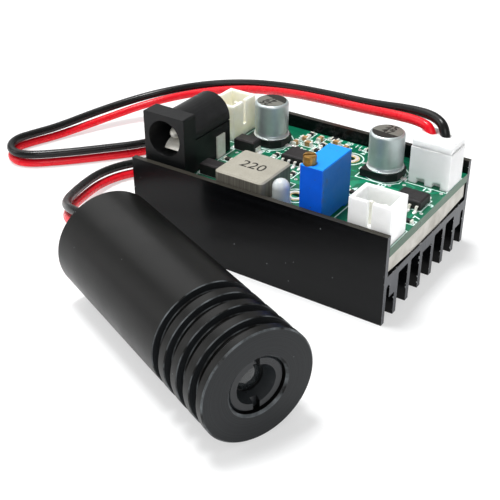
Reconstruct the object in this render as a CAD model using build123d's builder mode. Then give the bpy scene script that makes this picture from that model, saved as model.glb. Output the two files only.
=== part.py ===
"""Laser diode module: a driver board in a finned heat sink, wired to a focusable laser head.

Millimetres, +Z up. The origin is on the surface that the module stands on, at the middle of the
box round the heat sink and the head. +X runs along the heat sink, +Y from its front wall to its back.
"""

import math
import os

from build123d import *

os.makedirs("parts", exist_ok=True)

# Shared allowances
overrun = 1.0
running_clearance = 0.05
assembly_clearance = 0.1

# Heat sink extrusion
sink_length = 50.0
sink_width = 32.0
sink_height = 16.4
sink_wall = 1.0
sink_base_top = 8.8
sink_base_thickness = 1.3
sink_core_drop = 1.0
fin_count = 6
fin_thickness = 1.1
groove_width = 1.1
groove_top = 7.0
groove_shoulder = 4.4
gap_roof_radius = 0.35
extrusion_edge_radius = 0.2

# Thermal pad and board
pad_thickness = 3.6
pad_end_margin = 0.3
pad_edge_lift = 0.6
pad_flat_share = 0.35
board_thickness = 1.6

# Power jack, measured from its front left corner on the board
jack_from_left = 1.5
jack_from_front = 2.0
jack_width = 8.6
jack_height = 11.0
jack_depth = 14.0
jack_flange_depth = 3.4
jack_body_width = 8.0
jack_round_height = 6.5
jack_seam_height = 6.0
jack_seam_width = 0.25
jack_edge_radius = 0.3
jack_bore_radius = 3.3
jack_bore_height = 6.6
jack_bore_depth = 10.0
jack_pin_radius = 1.0
jack_pin_recess = 2.2
jack_lug_width = 2.2
jack_lug_thickness = 0.4
jack_leaf_width = 3.2
jack_leaf_thickness = 0.3
jack_leaf_rise = 1.4
jack_leaf_from_face = 2.0
jack_leaf_length = 5.4
jack_tab_width = 2.4
jack_tab_height = 4.2
jack_tab_from_face = 10.9

# Power inductor
inductor_gap = 1.1
inductor_from_front = 1.15
inductor_width = 9.65
inductor_depth = 9.4
inductor_height = 4.2
inductor_corner_radius = 0.8
inductor_top_bevel = 0.25
inductor_terminal_width = 2.6
inductor_terminal_thickness = 0.25
inductor_terminal_reach = 2.2
inductor_terminal_rise = 1.2

# Indicator lamp, beside the inductor
led_gap = 0.2
led_from_front = 3.9
led_radius = 1.5
led_rim_radius = 1.75
led_rim_height = 0.9
led_height = 4.6
led_lead_pitch = 2.54

# Trimmer, beside the front header
trimmer_gap = 4.55
trimmer_from_front = 1.15
trimmer_width = 4.3
trimmer_depth = 9.2
trimmer_height = 9.9
trimmer_foot_height = 0.4
trimmer_foot_depth = 1.2
trimmer_bevel = 0.15
trimmer_screw_radius = 1.1
trimmer_screw_inset = 1.15
trimmer_screw_rise = 1.5
trimmer_screw_depth = 1.2
trimmer_slot_width = 0.45
trimmer_slot_depth = 0.6
trimmer_slot_turn = 40.0
trimmer_pin_pitch = 2.5
trimmer_pin_stagger = 1.2

# Electrolytic capacitors
capacitor_radius = 3.1
capacitor_height = 8.1
capacitor_base_margin = 0.15
capacitor_base_height = 1.3
capacitor_base_corner = 1.5
capacitor_groove_height = 2.2
capacitor_groove_depth = 0.25
capacitor_groove_radius = 0.45
capacitor_top_radius = 0.5
capacitor_top_rim = 0.5
capacitor_top_dish = 0.15
capacitor_terminal_width = 0.8
capacitor_terminal_length = 2.2
capacitor_terminal_thickness = 0.15
capacitor_terminal_reach = 0.5
left_capacitor_gap = 0.8
left_capacitor_from_front = 23.3
right_capacitor_gap = 1.45
right_capacitor_from_front = 23.1

# Pin headers and the lead's plug
header_width = 7.4
header_depth = 5.75
header_height = 6.8
header_wall = 0.7
header_floor = 1.6
header_window_width = 1.5
header_window_height = 1.1
header_window_pitch = 2.9
header_slot_width = 0.8
header_slot_depth = 4.6
header_pin_pitch = 2.5
header_pin_size = 0.64
header_pin_height = 5.4
front_header_from_right = 0.3
front_header_from_front = 1.15
rear_right_header_from_right = 0.1
rear_right_header_from_front = 22.6
rear_left_header_gap = 2.5
rear_left_header_from_front = 19.25
plug_clearance = 0.12
plug_shoulder_height = 2.0
plug_shoulder_inset = 0.15
plug_top_bevel = 0.4
plug_step_width = 0.8
plug_step_height = 0.7
plug_contact_size = 1.5
plug_insert_gap = 0.3

# Small-outline chips
chip_body_length = 4.9
chip_body_width = 3.9
chip_body_height = 1.45
chip_body_lift = 0.15
chip_bevel = 0.25
chip_leg_pitch = 1.27
chip_legs_per_side = 4
chip_leg_width = 0.42
chip_leg_thickness = 0.2
chip_leg_reach = 1.05
chip_leg_foot = 0.6
chip_leg_height = 0.85
driver_chip_gap = 2.25
driver_chip_from_front = 19.0
switch_chip_from_right = 1.25
switch_chip_from_front = 16.2

# Two surface diodes: the rectifier beside the inductor and the input diode behind the jack
input_diode_shift = 2.35
input_diode_gap = 0.5
rectifier_gap = 0.4
rectifier_from_front = 6.3
diode_length = 4.3
diode_width = 2.6
diode_height = 2.1
diode_terminal_reach = 0.45
diode_terminal_thickness = 0.2
diode_terminal_width = 1.5

# Chip capacitors and resistors, placed as shares of the heat sink's length and width
chip_part_length = 1.6
chip_part_width = 0.8
chip_capacitor_height = 0.8
chip_resistor_height = 0.45
chip_end_length = 0.3
chip_capacitor_place_shares = [(0.418, 0.79), (0.436, 0.88), (0.502, 0.888), (0.552, 0.856)]
chip_capacitor_turns = [0, 90, 0, 90]
chip_resistor_place_shares = [(0.24, 0.384), (0.972, 0.316), (0.6, 0.625), (0.556, 0.5), (0.67, 0.406)]
chip_resistor_turns = [0, 0, 90, 0, 0]

# Plated ring pads
ring_pad_outer_radius = 1.7
ring_pad_hole_radius = 0.8
ring_pad_thickness = 0.1
front_ring_pad_gap = 0.15
front_ring_pad_shift = 0.7
rear_ring_pad_from_left = 30.1
rear_ring_pad_from_front = 24.8

# Laser head
head_turn = -23.0
head_from_left = 6.5
head_gap = 6.5
barrel_diameter = 18.0
barrel_length = 45.0
barrel_front_disc = 1.45
barrel_ring_count = 3
barrel_ring_width = 1.6
barrel_groove_width = 1.75
barrel_groove_depth = 1.3
barrel_edge_bevel = 0.25
barrel_bore_radius = 6.0
barrel_front_block = 12.0
lens_mouth_bevel = 0.35
rear_cap_thickness = 3.0
rear_cap_hole_radius = 2.3
grommet_flange_radius = 3.0
grommet_flange_thickness = 1.2
holder_length = 7.0
seat_clearance = 0.02
holder_front_recess = 1.2
holder_recess_radius = 3.9
diode_base_radius = 2.8
diode_base_thickness = 1.2
diode_cap_radius = 1.8
diode_cap_length = 2.3
diode_pin_radius = 0.23
diode_pin_length = 5.0
diode_pin_circle = 1.0
nut_radius = 4.5
nut_length = 5.5
nut_recess = 0.65
nut_mouth_radius = 3.15
nut_throat_radius = 2.3
nut_cone_depth = 1.8
nut_throat_length = 0.5
nut_face_bevel = 0.35
nut_slot_width = 1.1
nut_slot_depth = 0.9
lens_radius = 2.8
lens_edge_thickness = 1.1
lens_crown = 0.7

# Wires, each with the points it bends at between the plug and the head. The black wire lies on the red one.
wire_radius = 0.85
wire_pitch = 2.2
wire_bend_share = 0.45
wire_insertion = 2.0
black_wire_rise = 1.7
red_wire_rise = 1.4
wire_straight = 7.0
black_wire_bends = [
    (18.8, 31.9, 25.05),
    (12.9, 34.6, 23.7),
    (2.9, 39.3, 20.6),
    (-9.0, 44.8, 17.8),
    (-22.1, 50.7, 14.5),
    (-35.6, 54.8, 11.0),
    (-48.0, 54.5, 7.8),
    (-58.0, 48.6, 5.2),
    (-64.1, 38.1, 3.6),
    (-67.0, 27.6, 2.9),
    (-69.1, 22.6, 2.78),
    (-70.6, 17.8, 2.78),
    (-68.2, 13.8, 2.78),
    (-63.5, 13.0, 2.78),
    (-57.2, 18.7, 2.78),
    (-52.2, 24.3, 2.78),
    (-45.7, 31.7, 2.78),
    (-43.9, 38.1, 2.78),
    (-38.7, 41.8, 2.78),
    (-32.7, 39.8, 2.78),
    (-31.2, 33.6, 2.78),
    (-35.2, 29.1, 2.78),
    (-40.0, 25.9, 2.78),
    (-43.6, 20.7, 2.78),
    (-44.5, 14.7, 3.1),
    (-42.1, 6.7, 4.2),
    (-38.0, -1.1, 6.2),
    (-32.3, -5.7, 8.6),
]
red_wire_bends = [
    (15.8, 30.8, 24.0),
    (10.4, 32.9, 22.7),
    (2.2, 37.5, 20.16),
    (-9.7, 43.0, 17.32),
    (-22.5, 49.0, 13.84),
    (-35.7, 53.1, 10.1),
    (-47.3, 53.0, 6.69),
    (-56.9, 47.8, 3.9),
    (-62.8, 37.6, 1.95),
    (-67.0, 27.6, 0.87),
    (-69.1, 22.6, 0.87),
    (-70.6, 17.8, 0.87),
    (-68.2, 13.8, 0.87),
    (-63.5, 13.0, 0.87),
    (-57.2, 18.7, 0.87),
    (-52.2, 24.3, 0.87),
    (-45.7, 31.7, 0.87),
    (-43.9, 38.1, 0.87),
    (-38.7, 41.8, 0.87),
    (-32.7, 39.8, 0.87),
    (-31.2, 33.6, 0.87),
    (-35.2, 29.1, 0.87),
    (-39.7, 25.5, 0.87),
    (-43.1, 20.0, 0.98),
    (-43.8, 14.0, 1.3),
    (-41.2, 5.8, 2.45),
    (-37.5, -1.4, 4.3),
    (-31.9, -6.5, 6.6),
]

# Places that follow from the sizes above
head_angle = math.radians(head_turn)
head_run = (math.cos(head_angle), math.sin(head_angle), 0)
barrel_radius = barrel_diameter / 2
barrel_bore_depth = barrel_length - barrel_front_block
head_front_from_left = head_from_left + barrel_length * head_run[0] - barrel_radius * head_run[1]
sink_left = -max(sink_length, head_front_from_left) / 2
head_rear_to_front_wall = head_gap + barrel_radius * head_run[0]
head_reach = head_rear_to_front_wall - barrel_length * head_run[1] + barrel_radius * head_run[0]
sink_front = (head_reach - sink_width) / 2
sink_right = sink_left + sink_length
sink_middle = sink_front + sink_width / 2
board_under = sink_base_top + pad_thickness
board_top = board_under + board_thickness
board_width = sink_width - 2 * (sink_wall + assembly_clearance)
fin_pitch = sink_width / (fin_count + 1)
pin_hole_radius = header_pin_size / math.sqrt(2) + assembly_clearance
capacitor_base_width = 2 * (capacitor_radius + capacitor_base_margin)

# Along the board from the left: jack, rectifier, inductor and lamp, and behind them the left capacitor
jack_end = jack_from_left + jack_width
rectifier_from_left = jack_end + rectifier_gap + diode_terminal_reach + diode_length / 2
rectifier_end = rectifier_from_left + diode_length / 2 + diode_terminal_reach
inductor_from_left = rectifier_end + inductor_gap
led_from_left = inductor_from_left + inductor_width + led_gap + led_rim_radius
front_ring_pad_from_left = led_from_left + front_ring_pad_shift
front_ring_pad_from_front = led_from_front + led_rim_radius + front_ring_pad_gap + ring_pad_outer_radius
left_capacitor_from_left = jack_end + left_capacitor_gap + capacitor_base_width / 2
input_diode_from_left = jack_end + input_diode_shift
input_diode_from_front = jack_from_front + jack_depth + input_diode_gap + diode_width / 2
rear_left_header_end = left_capacitor_from_left - capacitor_base_width / 2 - rear_left_header_gap
rear_left_header_from_left = rear_left_header_end - header_depth
left_capacitor_end = left_capacitor_from_left + capacitor_base_width / 2 + capacitor_terminal_reach
driver_chip_from_left = left_capacitor_end + driver_chip_gap + chip_body_length / 2

# From the right: front header and trimmer, and behind them the switch chip and the right capacitor
trimmer_from_right = front_header_from_right + header_width + trimmer_gap
rear_right_header_start = rear_right_header_from_right + header_width
right_capacitor_from_right = rear_right_header_start + right_capacitor_gap + capacitor_base_width / 2


def board_corner(from_left, from_front):
    """Point on the board's top at these distances from the heat sink's left end and front wall."""
    return Vector(sink_left + from_left, sink_front + from_front, board_top)


def save(piece, label):
    """Label one finished piece and write it."""
    piece.label = label
    export_step(piece, f"parts/{label}.step")


# Heat sink: the profile stands in the YZ plane and is extruded along X
with BuildPart() as heatsink:
    with BuildSketch(Plane.YZ.offset(sink_left)) as sink_profile:
        with Locations((sink_middle, 0)):
            Rectangle(sink_width, sink_height, align=(Align.CENTER, Align.MIN))
        with Locations((sink_middle, sink_base_top)):
            channel_depth = sink_height - sink_base_top + overrun
            Rectangle(
                sink_width - 2 * sink_wall,
                channel_depth,
                align=(Align.CENTER, Align.MIN),
                mode=Mode.SUBTRACT,
            )
        for gap in range(1, fin_count):
            gap_middle = sink_front + (gap + 0.5) * fin_pitch
            is_core = gap == fin_count // 2
            roof = sink_base_top - sink_base_thickness - (sink_core_drop if is_core else 0)
            with Locations((gap_middle, -overrun)):
                Rectangle(
                    fin_pitch - fin_thickness,
                    roof + overrun,
                    align=(Align.CENTER, Align.MIN),
                    mode=Mode.SUBTRACT,
                )
        for side in (-1, 1):
            wall_face = sink_middle + side * (sink_width / 2 - sink_wall)
            toward_middle = Align.MAX if side > 0 else Align.MIN
            with Locations((wall_face, -overrun)):
                Rectangle(
                    fin_pitch - fin_thickness / 2 - sink_wall,
                    groove_shoulder + overrun,
                    align=(toward_middle, Align.MIN),
                    mode=Mode.SUBTRACT,
                )
                Rectangle(
                    groove_width,
                    groove_top - groove_width / 2 + overrun,
                    align=(toward_middle, Align.MIN),
                    mode=Mode.SUBTRACT,
                )
            with Locations((wall_face - side * groove_width / 2, groove_top - groove_width / 2)):
                Circle(groove_width / 2, mode=Mode.SUBTRACT)
        corners = sink_profile.vertices()
        roofs = [
            corner
            for corner in corners
            if groove_top < corner.Y < sink_base_top or groove_shoulder < corner.Y < groove_top - groove_width
        ]
        tips = [corner for corner in corners if corner.Y == 0 or corner.Y == sink_height]
        fillet(roofs, gap_roof_radius)
        fillet(tips, extrusion_edge_radius)
    extrude(amount=sink_length)
save(heatsink.part, "heatsink")

# Thermal pad: it bulges down onto the base in the middle and lifts towards both walls
with BuildPart() as thermal_pad:
    with BuildSketch(Plane.YZ.offset(sink_left + pad_end_margin)):
        with BuildLine():
            half_width = board_width / 2
            half_flat = half_width * pad_flat_share
            Polyline(
                (sink_middle - half_width, board_under),
                (sink_middle - half_width, sink_base_top + pad_edge_lift),
                (sink_middle - half_flat, sink_base_top),
                (sink_middle + half_flat, sink_base_top),
                (sink_middle + half_width, sink_base_top + pad_edge_lift),
                (sink_middle + half_width, board_under),
                close=True,
            )
        make_face()
    extrude(amount=sink_length - 2 * pad_end_margin)
save(thermal_pad.part, "thermal_pad")

# Places of the parts on the board
jack_corner = board_corner(jack_from_left, jack_from_front)
jack_middle_x = jack_corner.X + jack_width / 2
jack_back = jack_corner.Y + jack_depth
jack_bore_z = board_top + jack_bore_height
trimmer_from_left = sink_length - trimmer_from_right - trimmer_width
trimmer_corner = board_corner(trimmer_from_left, trimmer_from_front)
trimmer_top = board_top + trimmer_height
trimmer_screw_place = (trimmer_corner.X + trimmer_screw_inset, trimmer_corner.Y + trimmer_screw_inset)
trimmer_pin_places = [
    (
        trimmer_corner.X + trimmer_width / 2 + trimmer_pin_stagger * (-1) ** index / 2,
        trimmer_corner.Y + trimmer_depth / 2 + (index - 1) * trimmer_pin_pitch,
    )
    for index in range(3)
]
led_place = board_corner(led_from_left, led_from_front)
led_lead_places = [(led_place.X, led_place.Y + side * led_lead_pitch / 2) for side in (-1, 1)]
header_middles = {
    "front_header": board_corner(
        sink_length - front_header_from_right - header_width / 2,
        front_header_from_front + header_depth / 2,
    ),
    "rear_right_header": board_corner(
        sink_length - rear_right_header_from_right - header_width / 2,
        rear_right_header_from_front + header_depth / 2,
    ),
    "rear_left_header": board_corner(
        rear_left_header_from_left + header_depth / 2,
        rear_left_header_from_front + header_width / 2,
    ),
}
# The way each header's pins lie, and the turn that brings its slot to its side of the board
header_pin_runs = {
    "front_header": Vector(1, 0, 0),
    "rear_right_header": Vector(1, 0, 0),
    "rear_left_header": Vector(0, 1, 0),
}
header_slot_turns = {"front_header": 180, "rear_right_header": 0, "rear_left_header": -90}
header_pin_places = [
    header_middles[name] + run * side * header_pin_pitch / 2
    for name, run in header_pin_runs.items()
    for side in (-1, 1)
]
ring_pad_corners = [
    board_corner(front_ring_pad_from_left, front_ring_pad_from_front),
    board_corner(rear_ring_pad_from_left, rear_ring_pad_from_front),
]
jack_leaf_lug_y = jack_corner.Y + jack_leaf_from_face + jack_leaf_length
jack_tab_y = jack_corner.Y + jack_tab_from_face
jack_right_side = jack_middle_x + jack_body_width / 2
lug_slot = 2 * assembly_clearance

# Circuit board, drilled for every pin and lug that passes it
with BuildPart() as circuit_board:
    with Locations((sink_left + sink_length / 2, sink_middle, board_under)):
        Box(sink_length, board_width, board_thickness, align=(Align.CENTER, Align.CENTER, Align.MIN))
    with BuildSketch(Plane.XY.offset(board_under)):
        pin_holes = [(place.X, place.Y) for place in header_pin_places]
        with Locations(*pin_holes, *trimmer_pin_places, *led_lead_places):
            Circle(pin_hole_radius)
        with Locations(*[(corner.X, corner.Y) for corner in ring_pad_corners]):
            Circle(ring_pad_hole_radius)
        with Locations((jack_middle_x, jack_back + jack_lug_thickness / 2), (jack_middle_x, jack_leaf_lug_y)):
            Rectangle(jack_lug_width + lug_slot, jack_lug_thickness + lug_slot)
        with Locations((jack_right_side + jack_leaf_thickness / 2, jack_tab_y)):
            Rectangle(jack_leaf_thickness + lug_slot, jack_tab_width + lug_slot)
    extrude(amount=board_thickness, mode=Mode.SUBTRACT)
save(circuit_board.part, "circuit_board")

with BuildPart() as ring_pads:
    with BuildSketch(Plane.XY.offset(board_top)):
        with Locations(*[(corner.X, corner.Y) for corner in ring_pad_corners]):
            Circle(ring_pad_outer_radius)
            Circle(ring_pad_hole_radius, mode=Mode.SUBTRACT)
    extrude(amount=ring_pad_thickness)
save(ring_pads.part, "ring_pads")

# Power jack: a square front flange and a body with a half-round top, bored from the front
with BuildPart() as jack_housing:
    with BuildSketch(Plane.XZ.offset(-jack_corner.Y)):
        with Locations((jack_middle_x, board_top)):
            Rectangle(jack_width, jack_height, align=(Align.CENTER, Align.MIN))
    extrude(amount=-jack_flange_depth)
    fillet(jack_housing.edges().filter_by(Axis.Y), jack_edge_radius)
    with BuildSketch(Plane.XZ.offset(-jack_corner.Y)):
        with Locations((jack_middle_x, board_top)):
            Rectangle(jack_body_width, jack_round_height, align=(Align.CENTER, Align.MIN))
        with Locations((jack_middle_x, board_top + jack_round_height)):
            Circle(jack_body_width / 2)
    extrude(amount=-jack_depth)
    with BuildSketch(Plane.XZ.offset(-jack_corner.Y)):
        with Locations((jack_middle_x, jack_bore_z)):
            Circle(jack_bore_radius)
    extrude(amount=-jack_bore_depth, mode=Mode.SUBTRACT)
    # The pin's hole through the back wall, and the leaf's slot through the floor
    with BuildSketch(Plane.XZ.offset(-jack_back)):
        with Locations((jack_middle_x, jack_bore_z)):
            Circle(jack_pin_radius)
    extrude(amount=jack_depth - jack_bore_depth, mode=Mode.SUBTRACT)
    with BuildSketch(Plane.XY.offset(board_top)):
        with Locations((jack_middle_x, jack_leaf_lug_y)):
            Rectangle(jack_lug_width + lug_slot, jack_lug_thickness + lug_slot)
    extrude(amount=jack_bore_height, mode=Mode.SUBTRACT)
    # Seam of the side covers
    for side in (-1, 1):
        with Locations(
            (jack_middle_x + side * jack_body_width / 2, jack_back, board_top + jack_seam_height)
        ):
            Box(
                2 * jack_seam_width,
                jack_depth - jack_flange_depth,
                jack_seam_width,
                align=(Align.CENTER, Align.MAX, Align.CENTER),
                mode=Mode.SUBTRACT,
            )
save(jack_housing.part, "jack_housing")

with BuildPart() as jack_centre_pin:
    pin_length = jack_depth - jack_pin_recess - jack_pin_radius
    with BuildSketch(Plane.XZ.offset(-jack_back)):
        with Locations((jack_middle_x, jack_bore_z)):
            Circle(jack_pin_radius)
    extrude(amount=pin_length)
    with Locations((jack_middle_x, jack_back - pin_length, jack_bore_z)):
        Sphere(jack_pin_radius)
    with Locations((jack_middle_x, jack_back, board_under)):
        lug_height = board_thickness + jack_bore_height + jack_pin_radius
        Box(
            jack_lug_width,
            jack_lug_thickness,
            lug_height,
            align=(Align.CENTER, Align.MIN, Align.MIN),
        )
save(jack_centre_pin.part, "jack_centre_pin")

# The sleeve contact: a leaf that bows up from the bore's floor, with a lug down through the board
with BuildPart() as jack_spring_contact:
    leaf_drop = math.sqrt(jack_bore_radius**2 - (jack_leaf_width / 2) ** 2)
    leaf_floor = jack_bore_z - leaf_drop + assembly_clearance
    leaf_start = jack_corner.Y + jack_leaf_from_face
    with BuildSketch(Plane.YZ.offset(jack_middle_x - jack_leaf_width / 2)):
        with BuildLine() as leaf_line:
            crown = (leaf_start + jack_leaf_length / 2, leaf_floor + jack_leaf_rise)
            bow = ThreePointArc((leaf_start, leaf_floor), crown, (jack_leaf_lug_y, leaf_floor))
            offset(amount=jack_leaf_thickness, side=Side.RIGHT)
        make_face()
    extrude(amount=jack_leaf_width)
    with Locations((jack_middle_x, jack_leaf_lug_y, board_under)):
        Box(
            jack_lug_width,
            jack_lug_thickness,
            leaf_floor - board_under,
            align=(Align.CENTER, Align.CENTER, Align.MIN),
        )
save(jack_spring_contact.part, "jack_spring_contact")

with BuildPart() as jack_side_tab:
    with Locations((jack_right_side, jack_tab_y, board_under)):
        Box(
            jack_leaf_thickness,
            jack_tab_width,
            board_thickness + jack_tab_height,
            align=(Align.MIN, Align.CENTER, Align.MIN),
        )
save(jack_side_tab.part, "jack_side_tab")

# Power inductor: a pressed block on two terminals that fold up its ends
inductor_corner = board_corner(inductor_from_left, inductor_from_front)
inductor_middle = inductor_corner + Vector(inductor_width / 2, inductor_depth / 2, 0)
with BuildPart() as inductor_body:
    with BuildSketch(Plane.XY.offset(board_top + inductor_terminal_thickness)):
        with Locations((inductor_middle.X, inductor_middle.Y)):
            RectangleRounded(inductor_width, inductor_depth, inductor_corner_radius)
    extrude(amount=inductor_height - inductor_terminal_thickness)
    chamfer(inductor_body.faces().sort_by(Axis.Z)[-1].edges(), inductor_top_bevel)
save(inductor_body.part, "inductor_body")

with BuildPart() as inductor_terminals:
    for side in (-1, 1):
        inward = Align.MIN if side < 0 else Align.MAX
        outward = Align.MAX if side < 0 else Align.MIN
        end_x = inductor_middle.X + side * inductor_width / 2
        with Locations((end_x, inductor_middle.Y, board_top)):
            Box(
                inductor_terminal_reach,
                inductor_terminal_width,
                inductor_terminal_thickness,
                align=(inward, Align.CENTER, Align.MIN),
            )
            Box(
                inductor_terminal_thickness,
                inductor_terminal_width,
                inductor_terminal_rise,
                align=(outward, Align.CENTER, Align.MIN),
            )
save(inductor_terminals.part, "inductor_terminals")

# Indicator lamp: a turned dome with a rim, on two leads
with BuildPart() as indicator_led:
    with BuildSketch(Plane.XZ.offset(-led_place.Y)):
        with BuildLine():
            dome_base = board_top + led_height - led_radius
            Polyline(
                (led_place.X, board_top + led_height),
                (led_place.X, board_top),
                (led_place.X + led_rim_radius, board_top),
                (led_place.X + led_rim_radius, board_top + led_rim_height),
                (led_place.X + led_radius, board_top + led_rim_height),
                (led_place.X + led_radius, dome_base),
            )
            dome_top = (led_place.X, board_top + led_height)
            RadiusArc(dome_top, (led_place.X + led_radius, dome_base), led_radius)
        make_face()
    revolve(axis=Axis((led_place.X, led_place.Y, 0), (0, 0, 1)))
save(indicator_led.part, "indicator_led")

with BuildPart() as led_leads:
    with BuildSketch(Plane.XY.offset(board_under)):
        with Locations(*led_lead_places):
            Rectangle(header_pin_size, header_pin_size)
    extrude(amount=board_thickness)
save(led_leads.part, "led_leads")

# Trimmer: a box on small feet, with the adjusting screw in a corner of its top
with BuildPart() as trimmer_body:
    trimmer_middle = (trimmer_corner.X + trimmer_width / 2, trimmer_corner.Y + trimmer_depth / 2)
    with BuildSketch(Plane.XY.offset(board_top + trimmer_foot_height)):
        with Locations(trimmer_middle):
            Rectangle(trimmer_width, trimmer_depth)
    extrude(amount=trimmer_height - trimmer_foot_height)
    chamfer(trimmer_body.edges(), trimmer_bevel)
    with BuildSketch(Plane.XY.offset(board_top)):
        with Locations(trimmer_middle):
            with GridLocations(0, trimmer_depth - trimmer_foot_depth - 2 * trimmer_bevel, 1, 2):
                Rectangle(trimmer_width - 2 * trimmer_bevel, trimmer_foot_depth)
    extrude(amount=trimmer_foot_height + trimmer_bevel)
    with BuildSketch(Plane.XY.offset(trimmer_top)):
        with Locations(trimmer_screw_place):
            Circle(trimmer_screw_radius + running_clearance)
    extrude(amount=-trimmer_screw_depth, mode=Mode.SUBTRACT)
save(trimmer_body.part, "trimmer_body")

with BuildPart() as trimmer_screw:
    shank_bottom = trimmer_top - trimmer_screw_depth + running_clearance
    with BuildSketch(Plane.XY.offset(shank_bottom)):
        with Locations(trimmer_screw_place):
            Circle(trimmer_screw_radius)
    extrude(amount=trimmer_top + trimmer_screw_rise - shank_bottom)
    chamfer(trimmer_screw.faces().sort_by(Axis.Z)[-1].edges(), trimmer_bevel)
    with Locations((*trimmer_screw_place, trimmer_top + trimmer_screw_rise)):
        Box(
            2 * trimmer_screw_radius,
            trimmer_slot_width,
            2 * trimmer_slot_depth,
            rotation=(0, 0, trimmer_slot_turn),
            mode=Mode.SUBTRACT,
        )
save(trimmer_screw.part, "trimmer_screw")

with BuildPart() as trimmer_pins:
    with BuildSketch(Plane.XY.offset(board_under)):
        with Locations(*trimmer_pin_places):
            Rectangle(header_pin_size, header_pin_size)
    extrude(amount=board_thickness + trimmer_foot_height)
save(trimmer_pins.part, "trimmer_pins")


def capacitor(name, place):
    """Surface-mounted can: a base with two cut corners, a rolled can and two flat terminals."""
    base_bottom = board_top + capacitor_terminal_thickness
    base_top = base_bottom + capacitor_base_height
    can_top = board_top + capacitor_height
    with BuildPart() as base:
        with BuildSketch(Plane.XY.offset(base_bottom)):
            with Locations((place.X, place.Y)):
                outline = Rectangle(capacitor_base_width, capacitor_base_width)
            chamfer(outline.vertices().group_by(Axis.X)[-1], capacitor_base_corner)
        extrude(amount=capacitor_base_height)
    save(base.part, f"{name}_base")

    with BuildPart() as can:
        with BuildSketch(Plane.XZ.offset(-place.Y)) as half:
            with Locations((place.X, base_top)):
                Rectangle(capacitor_radius, can_top - base_top, align=(Align.MIN, Align.MIN))
            fillet(half.vertices().group_by(Axis.Y)[-1].sort_by(Axis.X)[-1], capacitor_top_radius)
            groove_side = place.X + capacitor_radius - capacitor_groove_depth + capacitor_groove_radius
            with Locations((groove_side, board_top + capacitor_groove_height)):
                Circle(capacitor_groove_radius, mode=Mode.SUBTRACT)
            with Locations((place.X, can_top)):
                dish_width = capacitor_radius - capacitor_top_radius - capacitor_top_rim
                Rectangle(
                    dish_width,
                    capacitor_top_dish,
                    align=(Align.MIN, Align.MAX),
                    mode=Mode.SUBTRACT,
                )
        revolve(axis=Axis((place.X, place.Y, 0), (0, 0, 1)))
    save(can.part, f"{name}_can")

    with BuildPart() as terminals:
        outer = capacitor_base_width / 2 + capacitor_terminal_reach
        with BuildSketch(Plane.XY.offset(board_top)):
            with Locations((place.X, place.Y)):
                with GridLocations(2 * outer - capacitor_terminal_length, 0, 2, 1):
                    Rectangle(capacitor_terminal_length, capacitor_terminal_width)
        extrude(amount=capacitor_terminal_thickness)
    save(terminals.part, f"{name}_terminals")


capacitor("left_capacitor", board_corner(left_capacitor_from_left, left_capacitor_from_front))
capacitor(
    "right_capacitor",
    board_corner(sink_length - right_capacitor_from_right, right_capacitor_from_front),
)


def header(name):
    """Open two-pin header: a walled shell with two low windows on one side and a slot on the other."""
    middle = header_middles[name]
    upright = Axis(middle, Axis.Z.direction)
    turn = header_slot_turns[name]
    with BuildPart() as shell:
        with BuildSketch(Plane.XY.offset(board_top)):
            with Locations((middle.X, middle.Y)):
                Rectangle(header_width, header_depth)
        extrude(amount=header_height)
        with BuildSketch(Plane.XY.offset(board_top + header_floor)):
            with Locations((middle.X, middle.Y)):
                Rectangle(header_width - 2 * header_wall, header_depth - 2 * header_wall)
        extrude(amount=header_height, mode=Mode.SUBTRACT)
        slot_y = middle.Y + (header_depth - header_wall) / 2
        window_y = middle.Y - (header_depth - header_wall) / 2
        with Locations((middle.X, slot_y, board_top + header_height)):
            Box(
                header_slot_width,
                2 * header_wall,
                header_slot_depth,
                align=(Align.CENTER, Align.CENTER, Align.MAX),
                mode=Mode.SUBTRACT,
            )
        with Locations((middle.X, window_y, board_top)):
            with GridLocations(header_window_pitch, 0, 2, 1):
                Box(
                    header_window_width,
                    2 * header_wall,
                    header_window_height,
                    align=(Align.CENTER, Align.CENTER, Align.MIN),
                    mode=Mode.SUBTRACT,
                )
        with BuildSketch(Plane.XY.offset(board_top)):
            with Locations((middle.X, middle.Y)):
                with GridLocations(header_pin_pitch, 0, 2, 1):
                    Rectangle(header_pin_size, header_pin_size)
        extrude(amount=header_floor, mode=Mode.SUBTRACT)
    save(shell.part.rotate(upright, turn), f"{name}_shell")

    with BuildPart() as pins:
        with BuildSketch(Plane.XY.offset(board_under)):
            with Locations((middle.X, middle.Y)):
                with GridLocations(header_pin_pitch, 0, 2, 1):
                    Rectangle(header_pin_size, header_pin_size)
        extrude(amount=board_thickness + header_pin_height)
    save(pins.part.rotate(upright, turn), f"{name}_pins")


for header_name in header_middles:
    header(header_name)

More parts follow.
